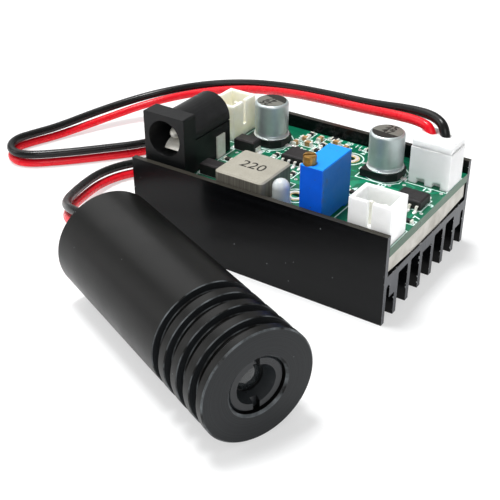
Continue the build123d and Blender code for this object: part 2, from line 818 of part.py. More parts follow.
# The lead's plug, seated in the rear right header, with a crimp contact round each pin
plug_middle = header_middles["rear_right_header"]
plug_bottom = board_top + header_floor + plug_insert_gap
plug_shoulder = board_top + header_height
plug_top = plug_shoulder + plug_shoulder_height
with BuildPart() as lead_plug:
    with BuildSketch(Plane.XY.offset(plug_bottom)):
        with Locations((plug_middle.X, plug_middle.Y)):
            cavity_width = header_width - 2 * header_wall
            cavity_depth = header_depth - 2 * header_wall
            Rectangle(cavity_width - 2 * plug_clearance, cavity_depth - 2 * plug_clearance)
    extrude(amount=plug_shoulder - plug_bottom)
    with BuildSketch(Plane.XY.offset(plug_shoulder)):
        with Locations((plug_middle.X, plug_middle.Y)):
            Rectangle(header_width - 2 * plug_shoulder_inset, header_depth - 2 * plug_shoulder_inset)
    extrude(amount=plug_shoulder_height)
    chamfer(lead_plug.faces().sort_by(Axis.Z)[-1].edges().filter_by(Axis.Y), plug_top_bevel)
    # A step along the front and back of the top
    with Locations((plug_middle.X, plug_middle.Y, plug_top)):
        with GridLocations(0, header_depth - 2 * plug_shoulder_inset - plug_step_width, 1, 2):
            Box(
                header_width,
                plug_step_width,
                plug_step_height,
                align=(Align.CENTER, Align.CENTER, Align.MAX),
                mode=Mode.SUBTRACT,
            )
    # Contact chambers below, wire holes above
    with BuildSketch(Plane.XY.offset(plug_bottom)):
        with Locations((plug_middle.X, plug_middle.Y)):
            with GridLocations(header_pin_pitch, 0, 2, 1):
                Rectangle(plug_contact_size, plug_contact_size)
    extrude(amount=plug_shoulder - plug_bottom, mode=Mode.SUBTRACT)
    with BuildSketch(Plane.XY.offset(plug_shoulder)):
        with Locations((plug_middle.X, plug_middle.Y)):
            with GridLocations(header_pin_pitch, 0, 2, 1):
                Circle(wire_radius + running_clearance)
    extrude(amount=plug_shoulder_height, mode=Mode.SUBTRACT)
save(lead_plug.part, "lead_plug")

with BuildPart() as plug_contacts:
    with BuildSketch(Plane.XY.offset(plug_bottom)):
        with Locations((plug_middle.X, plug_middle.Y)):
            with GridLocations(header_pin_pitch, 0, 2, 1):
                Rectangle(plug_contact_size, plug_contact_size)
                Rectangle(header_pin_size, header_pin_size, mode=Mode.SUBTRACT)
    extrude(amount=plug_shoulder - plug_bottom)
save(plug_contacts.part, "plug_contacts")


def chip(name, place):
    """Small-outline chip with bevelled body and gull-wing legs on its front and back sides."""
    with BuildPart() as body:
        with BuildSketch(Plane.XY.offset(board_top + chip_body_lift)):
            with Locations((place.X, place.Y)):
                Rectangle(chip_body_length, chip_body_width)
        extrude(amount=chip_body_height)
        chamfer(body.faces().sort_by(Axis.Z)[-1].edges(), chip_bevel)
    save(body.part, f"{name}_body")

    with BuildPart() as legs:
        first_leg = place.X - (chip_legs_per_side - 1) * chip_leg_pitch / 2 - chip_leg_width / 2
        for index in range(chip_legs_per_side):
            for side in (-1, 1):
                body_side = place.Y + side * chip_body_width / 2
                knee = body_side + side * (chip_leg_reach - chip_leg_foot)
                leg_top = board_top + chip_leg_height
                leg_underside = leg_top - chip_leg_thickness
                foot_end = body_side + side * chip_leg_reach
                with BuildSketch(Plane.YZ.offset(first_leg + index * chip_leg_pitch)):
                    with BuildLine():
                        Polyline(
                            (body_side, leg_top),
                            (knee, leg_top),
                            (knee + side * chip_leg_thickness, board_top + chip_leg_thickness),
                            (foot_end, board_top + chip_leg_thickness),
                            (foot_end, board_top),
                            (knee, board_top),
                            (knee - side * chip_leg_thickness, leg_underside),
                            (body_side, leg_underside),
                            close=True,
                        )
                    make_face()
                extrude(amount=chip_leg_width)
    save(legs.part, f"{name}_legs")


chip("driver_chip", board_corner(driver_chip_from_left, driver_chip_from_front))
switch_chip_from_left = sink_length - switch_chip_from_right - chip_body_length / 2
chip("switch_chip", board_corner(switch_chip_from_left, switch_chip_from_front))

def diode(name, place):
    """Block diode with terminals folded under its two ends."""
    with BuildPart() as body:
        with BuildSketch(Plane.XY.offset(board_top + diode_terminal_thickness)):
            with Locations((place.X, place.Y)):
                Rectangle(diode_length, diode_width)
        extrude(amount=diode_height)
        chamfer(body.faces().sort_by(Axis.Z)[-1].edges(), chip_bevel)
    save(body.part, f"{name}_body")

    with BuildPart() as terminals:
        for side in (-1, 1):
            inward = Align.MIN if side < 0 else Align.MAX
            outward = Align.MAX if side < 0 else Align.MIN
            with Locations((place.X + side * diode_length / 2, place.Y, board_top)):
                Box(
                    diode_length / 4,
                    diode_terminal_width,
                    diode_terminal_thickness,
                    align=(inward, Align.CENTER, Align.MIN),
                )
                Box(
                    diode_terminal_reach,
                    diode_terminal_width,
                    diode_terminal_thickness,
                    align=(outward, Align.CENTER, Align.MIN),
                )
                Box(
                    diode_terminal_thickness,
                    diode_terminal_width,
                    diode_height / 2,
                    align=(outward, Align.CENTER, Align.MIN),
                )
    save(terminals.part, f"{name}_terminals")


diode("rectifier", board_corner(rectifier_from_left, rectifier_from_front))
diode("input_diode", board_corner(input_diode_from_left, input_diode_from_front))


def chip_places(place_shares, turns):
    """Places of chip parts on the board, as shares of its length and the heat sink's width."""
    return [
        Location(board_corner(along * sink_length, across * sink_width), (0, 0, turn))
        for (along, across), turn in zip(place_shares, turns)
    ]


def chip_bodies(places, height):
    """Bodies of chip parts, without their solder ends, added to the part being built."""
    body_length = chip_part_length - 2 * chip_end_length
    for place in places:
        with Locations(place):
            Box(body_length, chip_part_width, height, align=(Align.CENTER, Align.CENTER, Align.MIN))


def chip_solder_ends(places, height):
    """Both ends of each chip part, added to the part being built."""
    for place in places:
        with Locations(place):
            with GridLocations(chip_part_length - chip_end_length, 0, 2, 1):
                Box(
                    chip_end_length,
                    chip_part_width,
                    height,
                    align=(Align.CENTER, Align.CENTER, Align.MIN),
                )


chip_capacitor_places = chip_places(chip_capacitor_place_shares, chip_capacitor_turns)
chip_resistor_places = chip_places(chip_resistor_place_shares, chip_resistor_turns)

with BuildPart() as chip_capacitors:
    chip_bodies(chip_capacitor_places, chip_capacitor_height)
save(chip_capacitors.part, "chip_capacitors")

with BuildPart() as chip_resistors:
    chip_bodies(chip_resistor_places, chip_resistor_height)
save(chip_resistors.part, "chip_resistors")

with BuildPart() as chip_ends:
    chip_solder_ends(chip_capacitor_places, chip_capacitor_height)
    chip_solder_ends(chip_resistor_places, chip_resistor_height)
save(chip_ends.part, "chip_ends")

# Laser head: turned pieces on one axis that starts at the middle of the rear face
head_rear = Vector(sink_left + head_from_left, sink_front - head_rear_to_front_wall, barrel_radius)
head_axis = Axis(head_rear, head_run)
head_section = Plane(origin=head_rear, x_dir=head_run, z_dir=(head_run[1], -head_run[0], 0))
holder_rear = barrel_bore_depth - holder_length
nut_bore_radius = nut_radius + running_clearance
nut_front = barrel_length - nut_recess
nut_rear = nut_front - nut_length
lens_seat = nut_front - nut_cone_depth - nut_throat_length


def head_plane(along):
    """Plane square to the head's axis, this far from its rear face and looking out of its front."""
    origin = head_rear + Vector(*head_run) * along
    return Plane(origin=origin, x_dir=(-head_run[1], head_run[0], 0), z_dir=head_run)


with BuildPart() as laser_barrel:
    with BuildSketch(head_section):
        with BuildLine():
            Polyline(
                (0, barrel_bore_radius),
                (0, barrel_radius - barrel_edge_bevel),
                (barrel_edge_bevel, barrel_radius),
                (barrel_length - barrel_edge_bevel, barrel_radius),
                (barrel_length, barrel_radius - barrel_edge_bevel),
                (barrel_length, nut_bore_radius + lens_mouth_bevel),
                (barrel_length - lens_mouth_bevel, nut_bore_radius),
                (barrel_bore_depth, nut_bore_radius),
                (barrel_bore_depth, barrel_bore_radius),
                close=True,
            )
        make_face()
        first_groove = barrel_length - barrel_front_disc - barrel_groove_width / 2
        for index in range(barrel_ring_count + 1):
            groove_middle = first_groove - index * (barrel_groove_width + barrel_ring_width)
            with Locations((groove_middle, barrel_radius)):
                Rectangle(barrel_groove_width, 2 * barrel_groove_depth, mode=Mode.SUBTRACT)
    revolve(axis=head_axis)
save(laser_barrel.part, "laser_barrel")

with BuildPart() as rear_cap:
    with BuildSketch(head_plane(0)):
        Circle(barrel_bore_radius - seat_clearance)
        Circle(rear_cap_hole_radius, mode=Mode.SUBTRACT)
    extrude(amount=rear_cap_thickness)
save(rear_cap.part, "rear_cap")

with BuildPart() as cable_grommet:
    with BuildSketch(head_plane(-grommet_flange_thickness)):
        Circle(grommet_flange_radius)
    extrude(amount=grommet_flange_thickness)
    with BuildSketch(head_plane(0)):
        Circle(rear_cap_hole_radius)
    extrude(amount=rear_cap_thickness)
    with BuildSketch(head_plane(-grommet_flange_thickness)):
        with GridLocations(0, wire_pitch, 1, 2):
            Circle(wire_radius + running_clearance)
    extrude(amount=grommet_flange_thickness + rear_cap_thickness, mode=Mode.SUBTRACT)
save(cable_grommet.part, "cable_grommet")

with BuildPart() as inner_leads:
    with BuildSketch(head_plane(wire_insertion)):
        with GridLocations(0, wire_pitch, 1, 2):
            Circle(wire_radius)
    extrude(amount=holder_rear - diode_pin_length - wire_insertion)
save(inner_leads.part, "inner_leads")

with BuildPart() as diode_holder:
    with BuildSketch(head_plane(holder_rear)):
        Circle(barrel_bore_radius - seat_clearance)
        Circle(diode_cap_radius + assembly_clearance, mode=Mode.SUBTRACT)
    extrude(amount=holder_length)
    with BuildSketch(head_plane(holder_rear)):
        Circle(diode_base_radius + seat_clearance)
    extrude(amount=diode_base_thickness, mode=Mode.SUBTRACT)
    with BuildSketch(head_plane(barrel_bore_depth)):
        Circle(holder_recess_radius)
    extrude(amount=-holder_front_recess, mode=Mode.SUBTRACT)
save(diode_holder.part, "diode_holder")

with BuildPart() as laser_diode:
    with BuildSketch(head_plane(holder_rear)):
        Circle(diode_base_radius)
    extrude(amount=diode_base_thickness)
    with BuildSketch(head_plane(holder_rear)):
        Circle(diode_cap_radius)
    extrude(amount=diode_base_thickness + diode_cap_length)
save(laser_diode.part, "laser_diode")

with BuildPart() as diode_pins:
    with BuildSketch(head_plane(holder_rear)):
        with Locations((0, diode_pin_circle), (0, -diode_pin_circle), (diode_pin_circle, 0)):
            Circle(diode_pin_radius)
    extrude(amount=-diode_pin_length)
save(diode_pins.part, "diode_pins")

# Lens nut: it screws in the barrel's mouth, has a cone in front and carries the lens behind
with BuildPart() as lens_nut:
    with BuildSketch(head_section):
        with BuildLine():
            Polyline(
                (nut_rear, lens_radius + assembly_clearance),
                (nut_rear, nut_radius),
                (nut_front - nut_face_bevel, nut_radius),
                (nut_front, nut_radius - nut_face_bevel),
                (nut_front, nut_mouth_radius),
                (nut_front - nut_cone_depth, nut_throat_radius),
                (lens_seat, nut_throat_radius),
                (lens_seat, lens_radius + assembly_clearance),
                close=True,
            )
        make_face()
    revolve(axis=head_axis)
    # Key slots at the top and bottom of the front rim
    with BuildSketch(head_plane(nut_front)):
        Rectangle(nut_slot_width, 2 * nut_radius)
    extrude(amount=-nut_slot_depth, mode=Mode.SUBTRACT)
save(lens_nut.part, "lens_nut")

with BuildPart() as lens:
    crown_base = nut_throat_radius - assembly_clearance
    crown_radius = (crown_base**2 + lens_crown**2) / (2 * lens_crown)
    crown_turn = math.degrees(math.asin(crown_base / crown_radius))
    with BuildSketch(head_section):
        with BuildLine():
            Polyline(
                (lens_seat, crown_base),
                (lens_seat, lens_radius),
                (lens_seat - lens_edge_thickness, lens_radius),
                (lens_seat - lens_edge_thickness, 0),
                (lens_seat + lens_crown, 0),
            )
            JernArc((lens_seat + lens_crown, 0), (0, 1), crown_radius, crown_turn)
        make_face()
    revolve(axis=head_axis)
save(lens.part, "lens")


def wire(name, plug_side, rise, bends):
    """Wire from the plug's hole on one side of its middle to the grommet's hole on the same row."""
    hole_x = plug_middle.X + plug_side * header_pin_pitch / 2
    entry_lift = Vector(0, 0, plug_side * wire_pitch / 2)
    run = Vector(*head_run)
    route = [Vector(hole_x, plug_middle.Y, plug_shoulder)]
    route.append(Vector(hole_x, plug_middle.Y, plug_top + rise))
    route += [Vector(*bend) for bend in bends]
    route.append(head_rear - run * wire_straight + entry_lift)
    route.append(head_rear + run * wire_insertion + entry_lift)
    radii = []
    for before, corner, after in zip(route, route[1:], route[2:]):
        shorter = min((corner - before).length, (after - corner).length)
        turn = math.radians((corner - before).get_angle(after - corner))
        radii.append(wire_bend_share * shorter / math.tan(turn / 2))
    with BuildPart() as tube:
        with BuildLine() as path:
            FilletPolyline(*route, radius=radii)
        with BuildSketch(Plane(origin=path.line @ 0, z_dir=path.line % 0)):
            Circle(wire_radius)
        sweep()
    save(tube.part, name)
    length = sum(edge.length for edge in path.edges())
    print(name, "length", round(length, 1), "bends", [round(radius, 1) for radius in radii])


wire("black_wire", 1, black_wire_rise, black_wire_bends)
wire("red_wire", -1, red_wire_rise, red_wire_bends)
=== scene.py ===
"""Looks of a laser diode module: turned head, two wires, and its driver board in a finned heat sink."""

from __future__ import annotations

import logging
import math
from dataclasses import dataclass
from enum import Enum
from functools import lru_cache

import bmesh
import bpy
from mathutils import Matrix, Vector

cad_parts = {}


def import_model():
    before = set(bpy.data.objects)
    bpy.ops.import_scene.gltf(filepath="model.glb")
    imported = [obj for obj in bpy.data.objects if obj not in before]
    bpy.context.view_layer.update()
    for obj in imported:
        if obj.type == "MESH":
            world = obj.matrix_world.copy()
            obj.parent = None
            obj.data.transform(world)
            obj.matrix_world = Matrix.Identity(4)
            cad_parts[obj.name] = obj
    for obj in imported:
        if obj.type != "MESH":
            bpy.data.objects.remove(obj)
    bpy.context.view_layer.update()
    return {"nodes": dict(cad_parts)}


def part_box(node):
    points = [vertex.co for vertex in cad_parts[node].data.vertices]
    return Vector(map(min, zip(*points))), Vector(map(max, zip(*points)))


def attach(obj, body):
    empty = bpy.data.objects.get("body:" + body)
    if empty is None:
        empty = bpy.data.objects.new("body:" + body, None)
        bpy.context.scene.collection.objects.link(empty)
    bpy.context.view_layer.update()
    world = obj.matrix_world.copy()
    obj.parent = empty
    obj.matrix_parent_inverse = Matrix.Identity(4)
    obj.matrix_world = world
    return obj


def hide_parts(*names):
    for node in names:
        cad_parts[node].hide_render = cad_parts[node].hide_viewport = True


Socket = bpy.types.NodeSocket
Mesh = bmesh.types.BMesh
Spot = tuple[float, float]
Size = tuple[float, float, float]

LOG = logging.getLogger("laser_module")
MM = 0.001
ALONG = (1.0, 0.0, 0.0)
UP = (0.0, 0.0, 1.0)
WHITE = (1.0, 1.0, 1.0, 1.0)
# The middle of the head's rear face, and the turn of its axis from the heat sink's.
HEAD_REAR_MM = (-19.2196, -10.4585, 9.0)
HEAD_TURN_DEG = -23.0


class Body(Enum):
    """The CAD body that the made pieces ride on."""

    MODULE = "module"


class Lines(Enum):
    """The direction that a surface's fine lines run in."""

    X = (0.02, 1.0, 1.0)
    Y = (1.0, 0.02, 1.0)
    Z = (1.0, 1.0, 0.02)
    NONE = (1.0, 1.0, 1.0)


def linear(code: str) -> tuple[float, float, float, float]:
    """Turns an sRGB hex colour into linear light.

    Args:
        code: The colour, as "#rrggbb".

    Returns:
        Red, green, blue and alpha.
    """
    shares = [int(code[i : i + 2], 16) / 255 for i in (1, 3, 5)]
    light = [s / 12.92 if s <= 0.04045 else ((s + 0.055) / 1.055) ** 2.4 for s in shares]
    return (*light, 1.0)


# A Mix node takes its share at input 0 and its colours at 6 and 7, and gives their mix at output 2.
# A Map Range node takes its value at input 0, and at 1 and 2 the values that give 0 and 1.
@dataclass
class Graph:
    """The node tree of a material or a world, with the place that its patterns are drawn by."""

    owner: bpy.types.Material | bpy.types.World
    place: Socket | None = None

    def __post_init__(self) -> None:
        """Empties the tree."""
        self.owner.use_nodes = True
        self.owner.node_tree.nodes.clear()

    def add(self, kind: str, inputs: dict | None = None, **settings: str) -> bpy.types.NodeOutputs:
        """Adds a node with its settings and links.

        Args:
            kind: The node's type name.
            inputs: Sockets to link, values or hex colours, by input name or number.
            settings: Values by property name.

        Returns:
            The node's outputs.
        """
        node = self.owner.node_tree.nodes.new(kind)
        for name, value in settings.items():
            setattr(node, name, value)
        for name, value in (inputs or {}).items():
            if isinstance(value, Socket):
                self.owner.node_tree.links.new(value, node.inputs[name])
            else:
                node.inputs[name].default_value = linear(value) if isinstance(value, str) else value
        return node.outputs

    def noise(self, size_mm: float, lines: Lines = Lines.NONE, detail: float = 3.0) -> Socket:
        """Adds noise of a real size.

        Args:
            size_mm: The width of one blotch or line.
            lines: The direction that the noise is drawn out in.
            detail: How many finer layers it has.

        Returns:
            The socket of the noise, about 0.5 on average.
        """
        scale = tuple(share / (size_mm * MM) for share in lines.value)
        mapped = self.add("ShaderNodeMapping", {"Vector": self.place, "Scale": scale})[0]
        inputs = {"Vector": mapped, "Scale": 1.0, "Detail": detail, "Roughness": 0.55}
        return self.add("ShaderNodeTexNoise", inputs)[0]

    def facing(self, way: Size, limits: Spot, either: bool = False) -> Socket:
        """Marks the surfaces that face one way.

        Args:
            way: The direction, of length 1.
            limits: The cosines between it and the surface's normal that give 0 and 1.
            either: Whether the opposite direction counts too.

        Returns:
            The socket of the mark, from 0 to 1.
        """
        normal = self.add("ShaderNodeNewGeometry")["True Normal"]
        cosine = self.add("ShaderNodeVectorMath", {0: normal, 1: way}, operation="DOT_PRODUCT")["Value"]
        if either:
            cosine = self.add("ShaderNodeMath", {0: cosine}, operation="ABSOLUTE")[0]
        return self.add("ShaderNodeMapRange", {0: cosine, 1: limits[0], 2: limits[1]})[0]


@dataclass(frozen=True)
class Layer:
    """A colour that shows where noise is strong, as blotches, lines, strokes or smears."""

    colour: str
    size_mm: float
    low: float
    high: float
    lines: Lines = Lines.NONE
    detail: float = 3.0

    def over(self, graph: Graph, under: Socket | str, within: Socket | None = None) -> Socket:
        """Lays the colour over another.

        Args:
            graph: The nodes to add to.
            under: The colour below.
            within: The mark that the layer stays in, if any.

        Returns:
            The socket of both colours.
        """
        noise = graph.noise(self.size_mm, self.lines, self.detail)
        share = graph.add("ShaderNodeMapRange", {0: noise, 1: self.low, 2: self.high})[0]
        if within is not None:
            share = graph.add("ShaderNodeMath", {0: within, 1: share}, operation="MULTIPLY")[0]
        return graph.add("ShaderNodeMix", {0: share, 6: under, 7: self.colour}, data_type="RGBA")[2]


@dataclass(frozen=True)
class Specks:
    """Small round specks, as of dust."""

    colour: str
    apart_mm: float
    radius_share: float

    def over(self, graph: Graph, under: Socket) -> Socket:
        """Scatters the specks over a colour.

        Args:
            graph: The nodes to add to.
            under: The colour below.

        Returns:
            The socket of both colours.
        """
        cells = graph.add("ShaderNodeTexVoronoi", {"Vector": graph.place, "Scale": 1 / (self.apart_mm * MM)})
        inputs = {0: cells["Distance"], 1: self.radius_share}
        share = graph.add("ShaderNodeMath", inputs, operation="LESS_THAN")[0]
        return graph.add("ShaderNodeMix", {0: share, 6: under, 7: self.colour}, data_type="RGBA")[2]


@dataclass(frozen=True)
class Finish:
    """A finish with a fine grain and a soft change of colour, which other finishes build on."""

    name: str
    colour: str
    second: str
    roughness: float = 0.5
    metallic: float = 0.0
    ior: float = 1.5
    coat: float = 0.0
    specular: float = 0.5
    grain_mm: float = 0.15
    grain_depth_mm: float = 0.004
    blotch_mm: float = 3.0
    lines: Lines = Lines.NONE
    gloss_change_share: float = 0.15
    gloss_blotch_share: float = 0.7

    @lru_cache(maxsize=None)
    def build(self) -> bpy.types.Material:
        """Makes the material once.

        Returns:
            The material.
        """
        material = bpy.data.materials.new(self.name)
        graph = Graph(material)
        graph.place = self.own_place(graph)
        colour, height = self.pattern(graph)
        inputs = {"Strength": 1.0, "Distance": self.grain_depth_mm * MM, "Height": height}
        inputs = {
            "Base Color": colour,
            "Roughness": self.gloss(graph),
            "Normal": graph.add("ShaderNodeBump", inputs)[0],
            "Metallic": self.metallic,
            "IOR": self.ior,
            "Coat Weight": self.coat,
            "Specular IOR Level": self.specular,
            **self.depth(),
        }
        shader = graph.add("ShaderNodeBsdfPrincipled", inputs)[0]
        graph.add("ShaderNodeOutputMaterial", {"Surface": shader})
        return material

    def own_place(self, graph: Graph) -> Socket:
        """Gives the place on the object, in metres."""
        return graph.add("ShaderNodeTexCoord")["Object"]

    def pattern(self, graph: Graph) -> tuple[Socket, Socket]:
        """Gives the colour and the height of the surface.

        Args:
            graph: The nodes to add to.

        Returns:
            The sockets of the colour and of the height.
        """
        blotches = Layer(self.second, self.blotch_mm, 0.3, 0.7)
        return blotches.over(graph, self.colour), graph.noise(self.grain_mm, self.lines)

    def gloss(self, graph: Graph) -> Socket:
        """Lets the roughness change a little over the surface.

        Args:
            graph: The nodes to add to.

        Returns:
            The socket of the roughness.
        """
        inputs = {
            "Value": graph.noise(self.blotch_mm * self.gloss_blotch_share, self.lines),
            "From Min": 0.25,
            "From Max": 0.75,
            "To Min": self.roughness * (1 - self.gloss_change_share),
            "To Max": min(1.0, self.roughness * (1 + self.gloss_change_share)),
        }
        return graph.add("ShaderNodeMapRange", inputs)[0]

    def depth(self) -> dict[str, float | Size]:
        """Gives the shader's values below the surface: none for an opaque finish."""
        return {}


@dataclass(frozen=True)
class Extruded(Finish):
    """An anodised extrusion: die lines, sawn ends, chips with painted glints near the ends, a painted
    highlight on the top faces, and specks of dust.
    """

    sawn: str = "#4c4e54"
    # Painted highlight: the colour of the upward top faces.
    top_face_highlight: str = "#33312c"
    # The heights between which the painted highlight on the top faces sets in, the middle along X, and how
    # far from it the ends start to take chips and painted glints and do so in full.
    top_highlight_mm: Spot = (15.9, 16.0)
    middle_mm: float = -0.72
    chip_glint_mm: Spot = (24.78, 24.9)
    die_lines: Layer = Layer("#0e0f11", 0.45, 0.5, 0.8, Lines.X, 1.0)
    saw_lines: Layer = Layer("#404247", 0.3, 0.3, 0.7, Lines.Z)
    top_limits: Spot = (0.4, 0.6)
    end_limits: Spot = (0.5, 0.6)
    # Bright spots near the ends: partly chipped anodising, partly painted glints.
    chips: Layer = Layer("#b4b7b9", 0.7, 0.6, 0.64)
    dust: Specks = Specks("#85888a", 2.3, 0.035)

    def pattern(self, graph: Graph) -> tuple[Socket, Socket]:
        """Adds die lines, dust, a painted highlight on the top faces, chips with painted glints near the
        ends, and the sawn ends.

        Args:
            graph: The nodes to add to.

        Returns:
            The sockets of the colour and of the height.
        """
        colour, height = super().pattern(graph)
        colour = self.dust.over(graph, self.die_lines.over(graph, colour))
        parts = graph.add("ShaderNodeSeparateXYZ", {"Vector": graph.place})
        low, high = (x * MM for x in self.top_highlight_mm)
        level = graph.add("ShaderNodeMapRange", {0: parts["Z"], 1: low, 2: high})[0]
        # Painted highlight: the upward faces near the top take a lighter colour.
        inputs = {0: graph.facing(UP, self.top_limits), 1: level}
        top = graph.add("ShaderNodeMath", inputs, operation="MULTIPLY")[0]
        colour = graph.add("ShaderNodeMix", {0: top, 6: colour, 7: self.top_face_highlight}, data_type="RGBA")[2]
        off = graph.add("ShaderNodeMath", {0: parts["X"], 1: self.middle_mm * MM}, operation="SUBTRACT")[0]
        off = graph.add("ShaderNodeMath", {0: off}, operation="ABSOLUTE")[0]
        low, high = (x * MM for x in self.chip_glint_mm)
        near_end = graph.add("ShaderNodeMapRange", {0: off, 1: low, 2: high})[0]
        # Chips near the ends, which also stand for painted glints.
        colour = self.chips.over(graph, colour, near_end)
        sawn = self.saw_lines.over(graph, self.sawn)
        inputs = {0: graph.facing(ALONG, self.end_limits, True), 6: colour, 7: sawn}
        return graph.add("ShaderNodeMix", inputs, data_type="RGBA")[2], height


@dataclass(frozen=True)
class Turned(Finish):
    """A turned and blasted surface: tool lines round the head's axis, and slanted chamfers and cones painted
    paler as glints.
    """

    faced: str = "#1c1e20"
    faced_line: str = "#27292b"
    line_mm: float = 0.14
    line_limits: Spot = (0.35, 0.75)
    face_limits: Spot = (0.9, 0.95)
    slant_limits: tuple[Spot, Spot] = ((0.35, 0.5), (0.92, 0.85))
    # Painted highlight: glints on the slanted chamfers and cones.
    slant_highlight: Layer = Layer("#686d70", 2.6, 0.4, 0.7, detail=6.0)
    dust: Specks = Specks("#77797b", 2.9, 0.025)

    def own_place(self, graph: Graph) -> Socket:
        """Moves the pattern on to the head's axis.

        Args:
            graph: The nodes to add to.

        Returns:
            The socket of the place, with X along the axis.
        """
        place = super().own_place(graph)
        for name, value in (
            ("Location", tuple(-c * MM for c in HEAD_REAR_MM)),
            ("Rotation", (0.0, 0.0, math.radians(-HEAD_TURN_DEG))),
        ):
            place = graph.add("ShaderNodeMapping", {"Vector": place, name: value})[0]
        return place

    def pattern(self, graph: Graph) -> tuple[Socket, Socket]:
        """Draws tool lines by the distance along the axis and out from it, tints faces, and paints a
        highlight on the slanted surfaces.

        Args:
            graph: The nodes to add to.

        Returns:
            The sockets of the colour and of the height.
        """
        colour, blasted = super().pattern(graph)
        parts = graph.add("ShaderNodeSeparateXYZ", {"Vector": graph.place})
        across = graph.add("ShaderNodeMath", {0: parts["Y"], 1: parts["Y"]}, operation="MULTIPLY")[0]
        inputs = {0: parts["Z"], 1: parts["Z"], 2: across}
        out = graph.add("ShaderNodeMath", inputs, operation="MULTIPLY_ADD")[0]
        out = graph.add("ShaderNodeMath", {0: out}, operation="SQRT")[0]
        run = graph.add("ShaderNodeMath", {0: parts["X"], 1: out}, operation="ADD")[0]
        run = graph.add("ShaderNodeMath", {0: run, 1: 1 / (self.line_mm * MM)}, operation="MULTIPLY")[0]
        inputs = {"W": run, "Scale": 1.0, "Detail": 2.0}
        tool = graph.add("ShaderNodeTexNoise", inputs, noise_dimensions="1D")[0]
        low, high = self.line_limits
        lines = graph.add("ShaderNodeMapRange", {0: tool, 1: low, 2: high})[0]
        inputs = {0: lines, 6: self.faced, 7: self.faced_line}
        faced = graph.add("ShaderNodeMix", inputs, data_type="RGBA")[2]
        turn = math.radians(HEAD_TURN_DEG)
        axis = (math.cos(turn), math.sin(turn), 0.0)
        inputs = {0: graph.facing(axis, self.face_limits, True), 6: colour, 7: faced}
        tinted = graph.add("ShaderNodeMix", inputs, data_type="RGBA")[2]
        inputs = {i: graph.facing(axis, limits, True) for i, limits in enumerate(self.slant_limits)}
        slanted = graph.add("ShaderNodeMath", inputs, operation="MULTIPLY")[0]
        height = graph.add("ShaderNodeMath", {0: tool, 1: blasted}, operation="ADD")[0]
        # The slanted surfaces take the painted highlight.
        return self.slant_highlight.over(graph, self.dust.over(graph, tinted), slanted), height


@dataclass(frozen=True)
class SolderMask(Finish):
    """Fibreglass board: green mask over the glass cloth on its faces, pale fibre on its cut edge."""

    edge: str = "#2f5f40"
    cloth: str = "#096a4a"
    thread_mm: float = 0.4
    weave_limits: Spot = (0.85, 1.25)
    flat_limits: Spot = (0.45, 0.55)
    fibre: Layer = Layer("#244d34", 0.25, 0.35, 0.65, Lines.Y)

    def pattern(self, graph: Graph) -> tuple[Socket, Socket]:
        """Shows the poured copper under the mask, the cloth's weave and the cut edge.

        Args:
            graph: The nodes to add to.

        Returns:
            The sockets of the colour and of the height.
        """
        ground, grain = super().pattern(graph)
        inputs = {i: graph.noise(self.thread_mm, way, 1.0) for i, way in enumerate((Lines.X, Lines.Y))}
        weave = graph.add("ShaderNodeMath", inputs, operation="ADD")[0]
        low, high = self.weave_limits
        weave = graph.add("ShaderNodeMapRange", {0: weave, 1: low, 2: high})[0]
        woven = graph.add("ShaderNodeMix", {0: weave, 6: ground, 7: self.cloth}, data_type="RGBA")[2]
        cut = self.fibre.over(graph, self.edge)
        inputs = {0: graph.facing(UP, self.flat_limits, True), 6: cut, 7: woven}
        return graph.add("ShaderNodeMix", inputs, data_type="RGBA")[2], grain


@dataclass(frozen=True)
class PressedIron(Finish):
    """Pressed iron powder under grey lacquer: speckled, with upright strokes of the die on its sides, which
    are painted darker as shade.
    """

    # Painted shade: the sides are darker than the top.
    side: str = "#7a776d"
    top_limits: Spot = (0.3, 0.6)
    speckle: Layer = Layer("#857f72", 0.16, 0.56, 0.75)
    strokes: Layer = Layer("#5f5c54", 0.32, 0.35, 0.6, Lines.Z, 1.0)

    def pattern(self, graph: Graph) -> tuple[Socket, Socket]:
        """Speckles the top, and draws upright strokes on the sides, which are painted darker as shade.

        Args:
            graph: The nodes to add to.

        Returns:
            The sockets of the colour and of the height.
        """
        top, grain = super().pattern(graph)
        top, side = self.speckle.over(graph, top), self.strokes.over(graph, self.side)
        inputs = {0: graph.facing(UP, self.top_limits), 6: side, 7: top}
        return graph.add("ShaderNodeMix", inputs, data_type="RGBA")[2], grain


@dataclass(frozen=True)
class SmudgedPlastic(Finish):
    """Moulded plastic, with a painted highlight on top and painted shade on the sides that face along X, and
    specks and brownish flux smears from hand soldering.
    """

    # The top colour is a painted highlight and the side colour is painted shade.
    top: str = "#1290ff"
    side: str = "#045cab"
    top_limits: Spot = (0.4, 0.7)
    side_limits: Spot = (0.4, 0.8)
    smear: Layer = Layer("#3f4a4c", 1.6, 0.6, 0.8, detail=5.0)
    specks: Specks = Specks("#3f4a4c", 1.1, 0.09)

    def pattern(self, graph: Graph) -> tuple[Socket, Socket]:
        """Paints the top lighter as a highlight and the sides darker as shade, and lays smears and specks
        over the colour.

        Args:
            graph: The nodes to add to.

        Returns:
            The sockets of the colour and of the height.
        """
        colour, grain = super().pattern(graph)
        on_top, on_side = graph.facing(UP, self.top_limits), graph.facing(ALONG, self.side_limits)
        for mark, tint in ((on_top, self.top), (on_side, self.side)):
            colour = graph.add("ShaderNodeMix", {0: mark, 6: colour, 7: tint}, data_type="RGBA")[2]
        return self.specks.over(graph, self.smear.over(graph, colour, on_side)), grain


